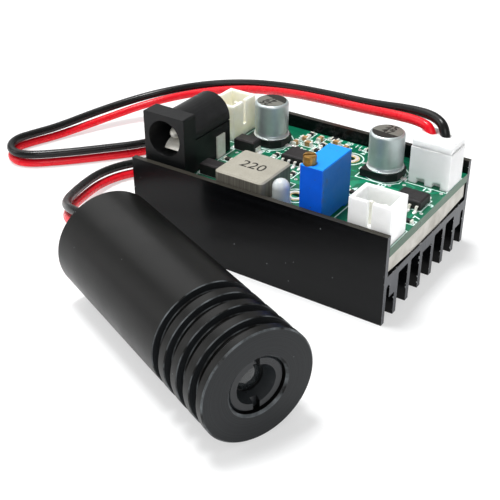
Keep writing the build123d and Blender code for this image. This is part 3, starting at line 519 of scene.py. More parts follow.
@dataclass(frozen=True)
class ClearFinish(Finish):
    """A finish that light passes into: clear glass or milky resin."""

    passing: float = 1.0
    scatter_mm: float = 0.0

    def depth(self) -> dict[str, float | Size]:
        """Gives how light passes and scatters inside.

        Returns:
            The shader's values by name.
        """
        values = {"Transmission Weight": self.passing}
        if self.scatter_mm:
            values["Subsurface Weight"] = 1.0 - self.passing
            values["Subsurface Scale"] = self.scatter_mm * MM
            values["Subsurface Radius"] = (1.0, 1.0, 1.0)
        return values


# Extruded 6063 aluminium, anodised black: satin, with die lines along its length, a painted highlight on its
# top faces and chips with painted glints at its ends.
EXTRUDED_BLACK = Extruded(
    "anodised_extrusion", "#050607", "#090a0c", 0.22, specular=0.17, grain_mm=0.3, grain_depth_mm=0.002,
    blotch_mm=7.0, lines=Lines.X,
)
# Turned aluminium, bead blasted and anodised black: a soft broad sheen.
TURNED_BLACK = Turned(
    "anodised_turned", "#060706", "#0b0a09", 0.36, specular=0.2, grain_mm=0.12, grain_depth_mm=0.003,
    blotch_mm=9.0,
)
# The focusing nut in the same anodised black, its slanted cone and rims painted paler all over as a
# highlight.
NUT_BLACK = Turned(
    "anodised_nut", "#0c0d0e", "#111213", 0.3, specular=0.35, grain_mm=0.12, grain_depth_mm=0.003,
    blotch_mm=5.0, faced="#1d1f22", slant_highlight=Layer("#2b2f32", 2.6, -1.0, -0.7, detail=6.0),
)
# Board of glass fibre and epoxy with a glossy green solder mask.
MASKED_BOARD = SolderMask(
    "solder_mask_board", "#035a40", "#04654a", 0.3, coat=0.12, specular=0.32, grain_mm=0.3, blotch_mm=5.0
)
# Copper runs under the green mask: paler than the bare laminate.
MASKED_COPPER = Finish(
    "masked_copper_run", "#0c7d5a", "#108a66", 0.3, coat=0.12, specular=0.32, grain_mm=0.3, blotch_mm=3.0
)
# Screen-printed white epoxy ink: flat, and a little thin in places.
SCREEN_INK = Finish("screen_printed_ink", "#eefaf6", "#bfe3da", 0.6, grain_mm=0.1, blotch_mm=0.7)
# Silicone heat pad, loaded with ceramic powder: dull, off-white and grainy.
HEAT_PAD = Finish(
    "silicone_heat_pad", "#dcd9d2", "#bdb9b0", 0.85, specular=0.3, grain_mm=0.16, grain_depth_mm=0.04
)
# PBT moulding of the jack, from a spark-eroded mould: matte with a fine grain.
JACK_PLASTIC = Finish(
    "moulded_black_pbt", "#08090a", "#0d0e10", 0.46, specular=0.27, grain_mm=0.14, grain_depth_mm=0.012,
    blotch_mm=4.0,
)
# Nylon 66 header, natural white: bright and slightly waxy.
WHITE_NYLON = ClearFinish(
    "moulded_white_nylon", "#fcfefc", "#f5f8f5", 0.42, ior=1.53, grain_mm=0.3, blotch_mm=2.5, passing=0.0,
    scatter_mm=1.2,
)
# The same nylon, yellowed.
CREAM_NYLON = ClearFinish(
    "moulded_cream_nylon", "#fbf8ea", "#f2efda", 0.42, ior=1.53, grain_mm=0.3, blotch_mm=2.5, passing=0.0,
    scatter_mm=1.2,
)
# Tinned brass and steel contacts: bright, a little dull from plating.
TIN_PLATE = Finish("tin_plated_contact", "#fbf9f1", "#ebe7da", 0.32, 0.25, grain_mm=0.2, blotch_mm=1.0)
# Hand-laid solder: bright and rounded.
SOLDER = Finish(
    "tin_solder", "#f9faf8", "#e0e1df", 0.24, 0.35, grain_mm=0.4, grain_depth_mm=0.02, blotch_mm=0.8
)
# Gold-washed copper ring pads.
GOLD_WASH = Finish(
    "gold_washed_pad", "#f3e2ae", "#d8bd7e", 0.3, 0.35, grain_mm=0.3, grain_depth_mm=0.01, blotch_mm=0.9
)
# Machined brass screw of the trimmer, tarnished.
AGED_BRASS = Finish(
    "aged_brass", "#c09348", "#805f2c", 0.36, 0.6, grain_mm=0.12, grain_depth_mm=0.01, blotch_mm=0.8
)
# Case of the trimmer, glass-filled polyester, moulded, with a painted highlight on top and painted shade on
# its side.
TRIMMER_BLUE = SmudgedPlastic(
    "moulded_blue_polyester", "#045fe2", "#0358d6", 0.42, specular=0.25, grain_mm=0.14, grain_depth_mm=0.008,
    blotch_mm=2.5,
)
# Pressed iron powder core of the power inductor, its sides painted darker as shade.
INDUCTOR_GREY = PressedIron(
    "pressed_iron_powder", "#aaa699", "#9d998c", 0.45, 0.2, grain_mm=0.12, grain_depth_mm=0.012, blotch_mm=3.0
)
# Dark marking ink of numbers on parts.
DARK_INK = Finish("dark_marking_ink", "#24221d", "#171613", 0.6, specular=0.3, grain_mm=0.1, blotch_mm=0.5)
# Laminated aluminium can of a capacitor, drawn upwards: fine upright lines.
DRAWN_CAN = Finish(
    "drawn_aluminium_can", "#c6cfcf", "#b2bcbc", 0.4, 0.75, grain_mm=0.12, blotch_mm=2.5, lines=Lines.Z
)
# The can's rolled lower lip, polished by the rolling.
ROLLED_LIP = Finish("rolled_aluminium_lip", "#f2f5f4", "#dfe4e3", 0.25, 0.7, grain_mm=0.2, blotch_mm=0.8)
# Lacquered top of the can.
CAN_TOP = Finish("lacquered_can_top", "#77776f", "#6b6b64", 0.5, 0.3, grain_mm=0.12, blotch_mm=1.5)
# Phenolic base of a capacitor.
BASE_PLASTIC = Finish(
    "black_phenolic_base", "#080909", "#0e0f0f", 0.42, specular=0.35, grain_mm=0.12, grain_depth_mm=0.006
)
# Epoxy chip package, moulded: dark grey and matte.
CHIP_EPOXY = Finish(
    "moulded_chip_epoxy", "#191718", "#231f20", 0.5, specular=0.35, grain_mm=0.1, grain_depth_mm=0.008,
    blotch_mm=1.2,
)
# Sintered ceramic of a chip capacitor.
TAN_CERAMIC = Finish("tan_ceramic", "#b48c58", "#96713f", 0.5, ior=1.6, grain_mm=0.1, blotch_mm=0.6)
# Milky epoxy of the lamp.
MILKY_EPOXY = ClearFinish(
    "milky_epoxy", "#d3d8d8", "#c6cccc", 0.22, grain_mm=0.4, grain_depth_mm=0.001, blotch_mm=2.0,
    passing=0.12, scatter_mm=0.8,
)
# Coated glass lens, dark inside the head.
COATED_GLASS = ClearFinish(
    "coated_lens_glass", "#2c3032", "#25292b", 0.14, ior=1.6, coat=0.3, grain_mm=0.3, grain_depth_mm=0.0005,
    passing=0.35,
)
# Soft rubber of the grommet.
RUBBER = Finish("soft_black_rubber", "#121212", "#1a1a1a", 0.6, grain_mm=0.15, grain_depth_mm=0.01)
# Gold-plated steel of the laser diode's can and pins.
DIODE_STEEL = Finish("plated_diode_steel", "#c9b58a", "#a9966c", 0.3, 1.0, grain_mm=0.1)
# Extruded soft vinyl of the wires: glossy, and a little wavy over the strands.
RED_VINYL = Finish(
    "red_vinyl", "#d6031a", "#de0820", 0.28, specular=0.33, grain_mm=1.4, grain_depth_mm=0.006, blotch_mm=5.0
)
BLACK_VINYL = Finish(
    "black_vinyl", "#050606", "#090a0b", 0.28, specular=0.3, grain_mm=1.4, grain_depth_mm=0.006, blotch_mm=5.0
)


def new_object(name: str, data: bpy.types.ID) -> bpy.types.Object:
    """Puts a new object with this data into the scene."""
    made = bpy.data.objects.new(name, data)
    bpy.context.scene.collection.objects.link(made)
    return made


def finish_mesh(
    work: Mesh, name: str, finish: Finish, smooth_deg: float = 35.0
) -> bpy.types.Object:
    """Turns a bmesh into a piece of the module with one finish, smooth below an angle.

    Args:
        work: The bmesh, which is freed.
        name: The piece's name.
        finish: Its finish.
        smooth_deg: Edges sharper than this stay sharp.

    Returns:
        The piece.
    """
    bmesh.ops.recalc_face_normals(work, faces=work.faces)
    for face in work.faces:
        face.smooth = True
    for edge in work.edges:
        if len(edge.link_faces) == 2 and edge.calc_face_angle(0.0) > math.radians(smooth_deg):
            edge.smooth = False
    mesh = bpy.data.meshes.new(name)
    work.to_mesh(mesh)
    work.free()
    mesh.materials.append(finish.build())
    piece = new_object(name, mesh)
    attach(piece, Body.MODULE.value)
    LOG.info("%s made", name)
    return piece


def middle(node: str) -> Vector:
    """Gives the middle of a CAD node's box, in metres."""
    low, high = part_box(node)
    return (Vector(low) + Vector(high)) / 2


def direction(turn_deg: float) -> Vector:
    """Gives the level direction at an angle from X."""
    return Vector((math.cos(math.radians(turn_deg)), math.sin(math.radians(turn_deg)), 0.0))


def shaped(centre: Vector, size_mm: Size, turn_deg: float = 0.0) -> Matrix:
    """Gives the matrix that brings a unit shape to its size and place.

    Args:
        centre: Its middle in metres.
        size_mm: Its size along its own axes.
        turn_deg: Its turn about the upright axis.

    Returns:
        The matrix.
    """
    scale = Matrix.Diagonal((*(x * MM for x in size_mm), 1.0))
    return Matrix.Translation(centre) @ Matrix.Rotation(math.radians(turn_deg), 4, "Z") @ scale


def plate(work: Mesh, centre: Vector, size_mm: Size, turn_deg: float = 0.0) -> None:
    """Adds a thin plate.

    Args:
        work: The bmesh to add to.
        centre: The plate's middle in metres.
        size_mm: Its length, width and thickness.
        turn_deg: Its turn about the upright axis.
    """
    bmesh.ops.create_cube(work, size=1.0, matrix=shaped(centre, size_mm, turn_deg))


def dome(work: Mesh, centre: Vector, size_mm: Size) -> None:
    """Adds a low rounded fillet, whose lower half is sunk in what it lies on.

    Args:
        work: The bmesh to add to.
        centre: Its middle at the surface, in metres.
        size_mm: Its half length, half width and height.
    """
    bmesh.ops.create_uvsphere(
        work, u_segments=20, v_segments=10, radius=1.0, matrix=shaped(centre, size_mm)
    )


def turn_outline(work: Mesh, outline: list[Vector], centre: Vector, axis: Size, steps: int) -> None:
    """Turns a closed outline into a round piece.

    Args:
        work: The bmesh to add to.
        outline: The outline's corners in metres.
        centre: A place on the axis.
        axis: The axis.
        steps: How many flats stand for the circle.
    """
    corners = [work.verts.new(place) for place in outline]
    edges = [work.edges.new((corners[i - 1], corners[i])) for i in range(len(corners))]
    bmesh.ops.spin(
        work, geom=corners + edges, cent=centre, axis=axis, angle=math.tau, steps=steps, use_merge=True
    )


def ring(
    work: Mesh, centre: Vector, radius_mm: float, width_mm: float, thick_mm: float, steps: int = 64
) -> None:
    """Turns a flat ring that lies on a level surface.

    Args:
        work: The bmesh to add to.
        centre: The middle of its lower face in metres.
        radius_mm: The radius of its middle line.
        width_mm: Its width.
        thick_mm: Its thickness.
        steps: How many flats stand for the circle.
    """
    inner, outer = (radius_mm - width_mm / 2) * MM, (radius_mm + width_mm / 2) * MM
    section = ((inner, 0.0), (outer, 0.0), (outer, thick_mm * MM), (inner, thick_mm * MM))
    turn_outline(work, [centre + Vector((out, 0.0, up)) for out, up in section], centre, UP, steps)


def bevel_all(work: Mesh, width_mm: float, segments: int) -> None:
    """Bevels every edge.

    Args:
        work: The bmesh.
        width_mm: The bevel's width.
        segments: Its number of flats.
    """
    bmesh.ops.bevel(
        work, geom=work.edges[:], offset=width_mm * MM, offset_type="OFFSET", affect="EDGES",
        segments=segments, profile=0.5, material=-1, clamp_overlap=True,
    )


@dataclass(frozen=True)
class Digits:
    """Plain numbers that lie on a level surface."""

    height_mm: float
    thick_mm: float = 0.03
    bold_share: float = 0.022
    font_share: float = 1.4

    def write(self, work: Mesh, text: str, centre: Vector, turn_deg: float = 0.0) -> None:
        """Adds a number.

        Args:
            work: The bmesh to add to.
            text: The number.
            centre: Its middle at the surface, in metres.
            turn_deg: Its turn about the upright axis.
        """
        curve = bpy.data.curves.new("number", "FONT")
        curve.body = text
        curve.align_x, curve.align_y = "CENTER", "CENTER"
        curve.resolution_u = 3
        curve.offset = self.bold_share
        curve.extrude = 0.5
        carrier = bpy.data.objects.new("number", curve)
        mesh = bpy.data.meshes.new_from_object(carrier)
        wide = self.height_mm * self.font_share
        raised = centre + Vector((0.0, 0.0, self.thick_mm / 2 * MM))
        mesh.transform(shaped(raised, (wide, wide, self.thick_mm), turn_deg))
        work.from_mesh(mesh)
        bpy.data.objects.remove(carrier)
        bpy.data.curves.remove(curve)
        bpy.data.meshes.remove(mesh)


@dataclass
class Studio:
    """A plain pale floor, soft lamps and the camera at the photograph's angle."""

    target_mm: Size = (0.90, 1.67, 7.70)
    distance_mm: float = 161.02
    azimuth_deg: float = 33.82
    elevation_deg: float = 31.89
    roll_deg: float = -0.16
    lens_mm: float = 70.09
    sensor_mm: float = 36.0
    clip_m: Spot = (0.01, 20.0)
    floor_m: float = 6.0
    floor_own_share: float = 0.5
    paper_blotch_mm: float = 40.0
    room_strength: float = 0.42
    lamps_aim_m: Size = (0.0, 0.0, 0.01)
    # Each lamp's place in metres, its power in watts, and its width and height in metres.
    lamps: tuple[tuple[str, Size, float, Spot], ...] = (
        ("overhead", (-0.14, 0.0, 0.68), 4.5, (0.2, 0.16)),
        ("window", (-0.52, 0.24, 0.58), 1.5, (0.6, 0.5)),
        ("left", (-0.60, -0.35, 0.35), 1.2, (0.4, 0.5)),
        ("front", (0.50, -0.60, 0.45), 1.7, (0.4, 0.4)),
    )

    def camera(self) -> None:
        """Makes the camera."""
        elevation, roll = math.radians(self.elevation_deg), math.radians(self.roll_deg)
        side = direction(self.azimuth_deg)
        back = Vector((side.y, -side.x, 0.0)) * math.cos(elevation) + Vector(UP) * math.sin(elevation)
        up = back.cross(side)
        right = side * math.cos(roll) + up * math.sin(roll)
        upward = up * math.cos(roll) - side * math.sin(roll)
        data = bpy.data.cameras.new("camera")
        data.lens = self.lens_mm
        data.sensor_width = self.sensor_mm
        data.clip_start, data.clip_end = self.clip_m
        camera = new_object("camera", data)
        camera.rotation_mode = "QUATERNION"
        camera.location = Vector(self.target_mm) * MM + back * self.distance_mm * MM
        camera.rotation_quaternion = Matrix((right, upward, back)).transposed().to_quaternion()
        bpy.context.scene.camera = camera

    def floor(self) -> None:
        """Makes the floor, white where no shadow falls."""
        work = bmesh.new()
        bmesh.ops.create_grid(work, x_segments=4, y_segments=4, size=self.floor_m / 2)
        mesh = bpy.data.meshes.new("floor")
        work.to_mesh(mesh)
        work.free()
        mesh.materials.append(self.paper())
        floor = new_object("floor", mesh)

    def paper(self) -> bpy.types.Material:
        """Makes seamless white background paper.

        Returns:
            The material, part lit by the lamps and part white by itself to the camera, glass and metal.
        """
        material = bpy.data.materials.new("seamless_paper")
        graph = Graph(material)
        graph.place = graph.add("ShaderNodeTexCoord")["Object"]
        inputs = {0: graph.noise(self.paper_blotch_mm), 6: "#f9fbfc", 7: "#fdfdfd"}
        tint = graph.add("ShaderNodeMix", inputs, data_type="RGBA")[2]
        path = graph.add("ShaderNodeLightPath")
        seen = path["Is Camera Ray"]
        for ray in ("Is Glossy Ray", "Is Transmission Ray"):
            seen = graph.add("ShaderNodeMath", {0: seen, 1: path[ray]}, operation="MAXIMUM")[0]
        inputs = {0: seen, 1: self.floor_own_share}
        both = {
            0: graph.add("ShaderNodeMath", inputs, operation="MULTIPLY")[0],
            1: graph.add("ShaderNodeBsdfDiffuse", {"Color": tint})[0],
            2: graph.add("ShaderNodeEmission", {"Strength": 1.0, "Color": WHITE})[0],
        }
        graph.add("ShaderNodeOutputMaterial", {"Surface": graph.add("ShaderNodeMixShader", both)[0]})
        return material

    def soft_boxes(self) -> None:
        """Makes the soft boxes, which look at the object."""
        for name, place, power, size in self.lamps:
            data = bpy.data.lights.new(name, "AREA")
            data.shape = "RECTANGLE"
            data.size, data.size_y = size
            data.energy = power
            lamp = new_object(name, data)
            lamp.location = place
            lamp.rotation_mode = "QUATERNION"
            aim = Vector(place) - Vector(self.lamps_aim_m)
            lamp.rotation_quaternion = aim.to_track_quat("Z", "Y")

    def room(self) -> None:
        """Makes the room's own light, which the camera sees as white."""
        world = bpy.data.worlds.new("room")
        graph = Graph(world)
        inputs = {"Value": graph.add("ShaderNodeLightPath")["Is Camera Ray"], "To Min": self.room_strength}
        strength = graph.add("ShaderNodeMapRange", inputs)[0]
        sky = graph.add("ShaderNodeBackground", {"Color": WHITE, "Strength": strength})[0]
        graph.add("ShaderNodeOutputWorld", {"Surface": sky})
        bpy.context.scene.world = world

    def build(self) -> None:
        """Makes the whole stage."""
        self.camera()
        self.floor()
        self.soft_boxes()
        self.room()
        bpy.context.scene.view_settings.view_transform = "Standard"
        LOG.info("stage, camera and lamps made")


# Where the wires lie flat in loops, the black one on the red one.
LOOPS = (
    (-69.1, 22.6), (-70.6, 17.8), (-68.2, 13.8), (-63.5, 13.0), (-57.2, 18.7), (-52.2, 24.3),
    (-45.7, 31.7), (-43.9, 38.1), (-38.7, 41.8), (-32.7, 39.8), (-31.2, 33.6), (-35.2, 29.1),
)
BLACK_ROUTE = (
    (21.73, 29.8, 20.8), (21.6, 29.85, 23.8), (18.8, 31.6, 24.9), (12.9, 34.6, 23.7),
    (2.9, 39.3, 20.6), (-9.0, 44.8, 17.8), (-22.1, 50.7, 14.5), (-35.6, 54.8, 11.0),
    (-48.0, 54.5, 7.8), (-58.0, 48.6, 5.2), (-64.1, 38.1, 3.6), (-67.0, 27.6, 2.9),
    *((x, y, 2.78) for x, y in LOOPS),
    (-40.0, 25.9, 2.78), (-43.6, 20.7, 2.78), (-44.5, 14.7, 3.1), (-42.1, 6.7, 4.2),
    (-38.0, -1.1, 6.2), (-32.3, -5.7, 8.6), (-25.66, -7.72, 10.1), (-17.38, -11.24, 10.1),
)
RED_ROUTE = (
    (19.23, 29.8, 20.8), (19.15, 29.8, 23.3), (16.2, 30.7, 23.8), (10.4, 32.9, 22.7),
    (2.2, 37.5, 20.16), (-9.7, 43.0, 17.32), (-22.5, 49.0, 13.84), (-35.7, 53.1, 10.1),
    (-47.3, 53.0, 6.69), (-56.9, 47.8, 3.9), (-62.8, 37.6, 1.95), (-67.0, 27.6, 0.87),
    *((x, y, 0.87) for x, y in LOOPS),
    (-39.7, 25.5, 0.87), (-43.1, 20.0, 0.98), (-43.8, 14.0, 1.3), (-41.2, 5.8, 2.45),
    (-37.5, -1.4, 4.3), (-31.9, -6.5, 6.6), (-25.66, -7.72, 7.9), (-17.38, -11.24, 7.9),
)


@dataclass(frozen=True)
class Wire:
    """One insulated wire, from the plug on the board to the head's rear."""

    name: str
    finish: Finish
    slot: str
    length_mm: float
    route_mm: tuple[Size, ...]
    radius_mm: float = 0.85

    def build(self) -> bpy.types.Object:
        """Lays the wire on its route.

        Returns:
            The wire.
        """
        data = bpy.data.curves.new(self.name, "CURVE")
        data.dimensions = "3D"
        line = data.splines.new("NURBS")
        line.points.add(len(self.route_mm) - 1)
        for point, place in zip(line.points, self.route_mm):
            point.co = (*(x * MM for x in place), 1.0)
        line.order_u = 3
        line.use_endpoint_u = True
        line.resolution_u = 8
        data.bevel_depth = self.radius_mm * MM
        data.bevel_resolution = 6
        data.use_fill_caps = True
        data.materials.append(self.finish.build())
        wire = new_object(self.name, data)
        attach(wire, Body.MODULE.value)
        LOG.info("%s laid", self.name)
        return wire


@dataclass
class Lead:
    """The two wires between the board and the head."""

    black: Wire = Wire("black_lead_wire", BLACK_VINYL, "black_insulation", 248.7, BLACK_ROUTE)
    red: Wire = Wire("red_lead_wire", RED_VINYL, "red_insulation", 243.0, RED_ROUTE)

    def build(self) -> None:
        for wire, node in ((self.black, "black_wire"), (self.red, "red_wire")):
            obj = wire.build()
            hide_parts(node)


@dataclass
class Assembly:
    """A sub-assembly, with the CAD nodes that it dresses by name."""

    nodes: dict[str, bpy.types.Object]

    def dress(self, finish: Finish, *names: str) -> None:
        """Gives CAD nodes a finish.

        Args:
            finish: The finish.
            names: The nodes to dress.
        """
        for name in names:
            node = self.nodes[name]
            if not node.material_slots:
                node.data.materials.append(finish.build())
            for slot in node.material_slots:
                slot.material = finish.build()
            LOG.info("%s takes %s", name, finish.name)

    def soften(self, width_mm: float, *names: str) -> None:
        """Rounds the sharp edges of CAD nodes a little, as moulding leaves them.

        Args:
            width_mm: The rounding's width.
            names: The nodes to soften.
        """
        for name in names:
            weld = self.nodes[name].modifiers.new("merged corners", "WELD")
            weld.merge_threshold = 1e-6
            bevel = self.nodes[name].modifiers.new("moulded edges", "BEVEL")
            bevel.width = width_mm * MM
            bevel.segments = 2
            bevel.limit_method = "ANGLE"
            bevel.angle_limit = math.radians(40)
            bevel.harden_normals = True


@dataclass
class LaserHead(Assembly):
    """The turned head: barrel with cooling grooves, focusing nut, lens and what is behind them."""

    length_mm: float = 45.0
    radius_mm: float = 9.0
    bore_mm: float = 6.0
    front_block_mm: float = 12.0
    nut_bore_mm: float = 4.55
    mouth_bevel_mm: float = 0.35
    grooves: int = 4
    groove_mm: float = 1.75
    groove_depth_mm: float = 1.3
    ring_mm: float = 1.6
    disc_mm: float = 1.45
    edge_mm: float = 0.22
    small_edge_mm: float = 0.13
    flats: int = 192

    def outline(self) -> list[Spot]:
        """Gives the turned outline.

        Returns:
            Places along the axis and out from it in millimetres, from the rear bore round to its front.
        """
        edge, small, bevel = self.edge_mm, self.small_edge_mm, self.mouth_bevel_mm
        radius, length = self.radius_mm, self.length_mm
        floor = radius - self.groove_depth_mm
        outline = [(0.0, self.bore_mm), (0.0, radius - edge), (edge, radius)]
        start = length - self.disc_mm - self.grooves * self.groove_mm - (self.grooves - 1) * self.ring_mm
        for _ in range(self.grooves):
            end = start + self.groove_mm
            outline += [(start - small, radius), (start, radius - small)]
            outline += [(start, floor + small), (start + small, floor)]
            outline += [(end - small, floor), (end, floor + small)]
            outline += [(end, radius - small), (end + small, radius)]
            start = end + self.ring_mm
        outline += [(length - edge, radius), (length, radius - edge)]
        outline += [(length, self.nut_bore_mm + bevel), (length - bevel, self.nut_bore_mm)]
        block = length - self.front_block_mm
        return outline + [(block, self.nut_bore_mm), (block, self.bore_mm)]

    def barrel(self) -> None:
        """Turns the barrel."""
        work = bmesh.new()
        outline = [Vector((along * MM, 0.0, out * MM)) for along, out in self.outline()]
        turn_outline(work, outline, Vector(), ALONG, self.flats)
        bmesh.ops.remove_doubles(work, verts=work.verts, dist=1e-7)
        turn = Matrix.Rotation(math.radians(HEAD_TURN_DEG), 4, "Z")
        work.transform(Matrix.Translation(Vector(HEAD_REAR_MM) * MM) @ turn)
        barrel = finish_mesh(work, "turned_barrel", TURNED_BLACK, smooth_deg=30.0)
        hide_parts("laser_barrel")

    def build(self) -> None:
        """Builds and dresses the head."""
        self.barrel()
        self.dress(NUT_BLACK, "lens_nut", "rear_cap")
        self.dress(COATED_GLASS, "lens")
        self.dress(RUBBER, "cable_grommet")
        self.dress(AGED_BRASS, "diode_holder")
        self.dress(DIODE_STEEL, "laser_diode")
        self.dress(GOLD_WASH, "diode_pins")
        self.dress(RED_VINYL, "inner_leads")


@dataclass
class HeatSink(Assembly):
    """The finned extrusion and the soft pad on its base."""

    def build(self) -> None:
        """Dresses the heat sink and its pad."""
        self.dress(EXTRUDED_BLACK, "heatsink")
        self.dress(HEAT_PAD, "thermal_pad")


@dataclass
class Can(Assembly):
    """One capacitor: rolled lip, lacquered top with its black segment and plain numbers."""

    side: str
    segment_deg: float
    lip_radius_mm: float = 3.15
    lip_mm: float = 0.34
    lip_high_mm: float = 0.3
    lip_bevel_mm: float = 0.09
    top_radius_mm: float = 2.68
    segment_from_share: float = 0.3
    layer_mm: float = 0.02
    digits: Digits = Digits(1.5, 0.04)
    # Each number, and how far it lies from the middle, away from the segment.
    numbers: tuple[tuple[str, float], ...] = (("47", -0.15), ("25", 1.5))

    def build(self) -> None:
        """Builds the lip and the top's print, and dresses the capacitor."""
        can = f"{self.side}_capacitor_can"
        self.dress(BASE_PLASTIC, f"{self.side}_capacitor_base")
        self.dress(DRAWN_CAN, can)
        self.dress(TIN_PLATE, f"{self.side}_capacitor_terminals")
        low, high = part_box(can)
        centre = middle(can)
        lip = bmesh.new()
        foot = Vector((centre.x, centre.y, low[2]))
        ring(lip, foot, self.lip_radius_mm, self.lip_mm, self.lip_high_mm)
        bevel_all(lip, self.lip_bevel_mm, segments=2)
        finish_mesh(lip, f"{self.side}_can_lip", ROLLED_LIP, smooth_deg=50.0)
        top = Vector((centre.x, centre.y, high[2]))
        self.layer(top, CAN_TOP, "top", self.layer_mm)
        self.layer(top, DARK_INK, "segment", 2 * self.layer_mm, True)
        work = bmesh.new()
        for text, out in self.numbers:
            place = top - direction(self.segment_deg) * out * MM
            self.digits.write(work, text, place, self.segment_deg + 90.0)
        finish_mesh(work, f"{self.side}_can_numbers", DARK_INK)

    def layer(self, top: Vector, finish: Finish, what: str, thick_mm: float, cut: bool = False) -> None:
        """Lays a thin round layer on the can's top.

        Args:
            top: The middle of the can's top in metres.
            finish: The layer's finish.
            what: What the layer is, for its name.
            thick_mm: Its thickness.
            cut: Whether it is cut to the segment.
        """
        work = bmesh.new()
        radius = self.top_radius_mm * MM
        bmesh.ops.create_circle(
            work, cap_ends=True, segments=64, radius=radius, matrix=Matrix.Translation(top)
        )
        if cut:
            way = direction(self.segment_deg)
            bmesh.ops.bisect_plane(
                work, geom=work.verts[:] + work.edges[:] + work.faces[:],
                plane_co=top + way * radius * self.segment_from_share, plane_no=-way, clear_outer=True,
            )
        made = bmesh.ops.extrude_face_region(work, geom=work.faces[:])
        raised = [item for item in made["geom"] if isinstance(item, bmesh.types.BMVert)]
        bmesh.ops.translate(work, verts=raised, vec=(0.0, 0.0, thick_mm * MM))
        finish_mesh(work, f"{self.side}_can_{what}", finish)


def laid(turn_deg: float, along: float, aside: float) -> Spot:
    """Gives a small part's step along and beside it in X and Y, for a turn of 0 or 90 degrees."""
    return (along, aside) if turn_deg == 0.0 else (aside, along)


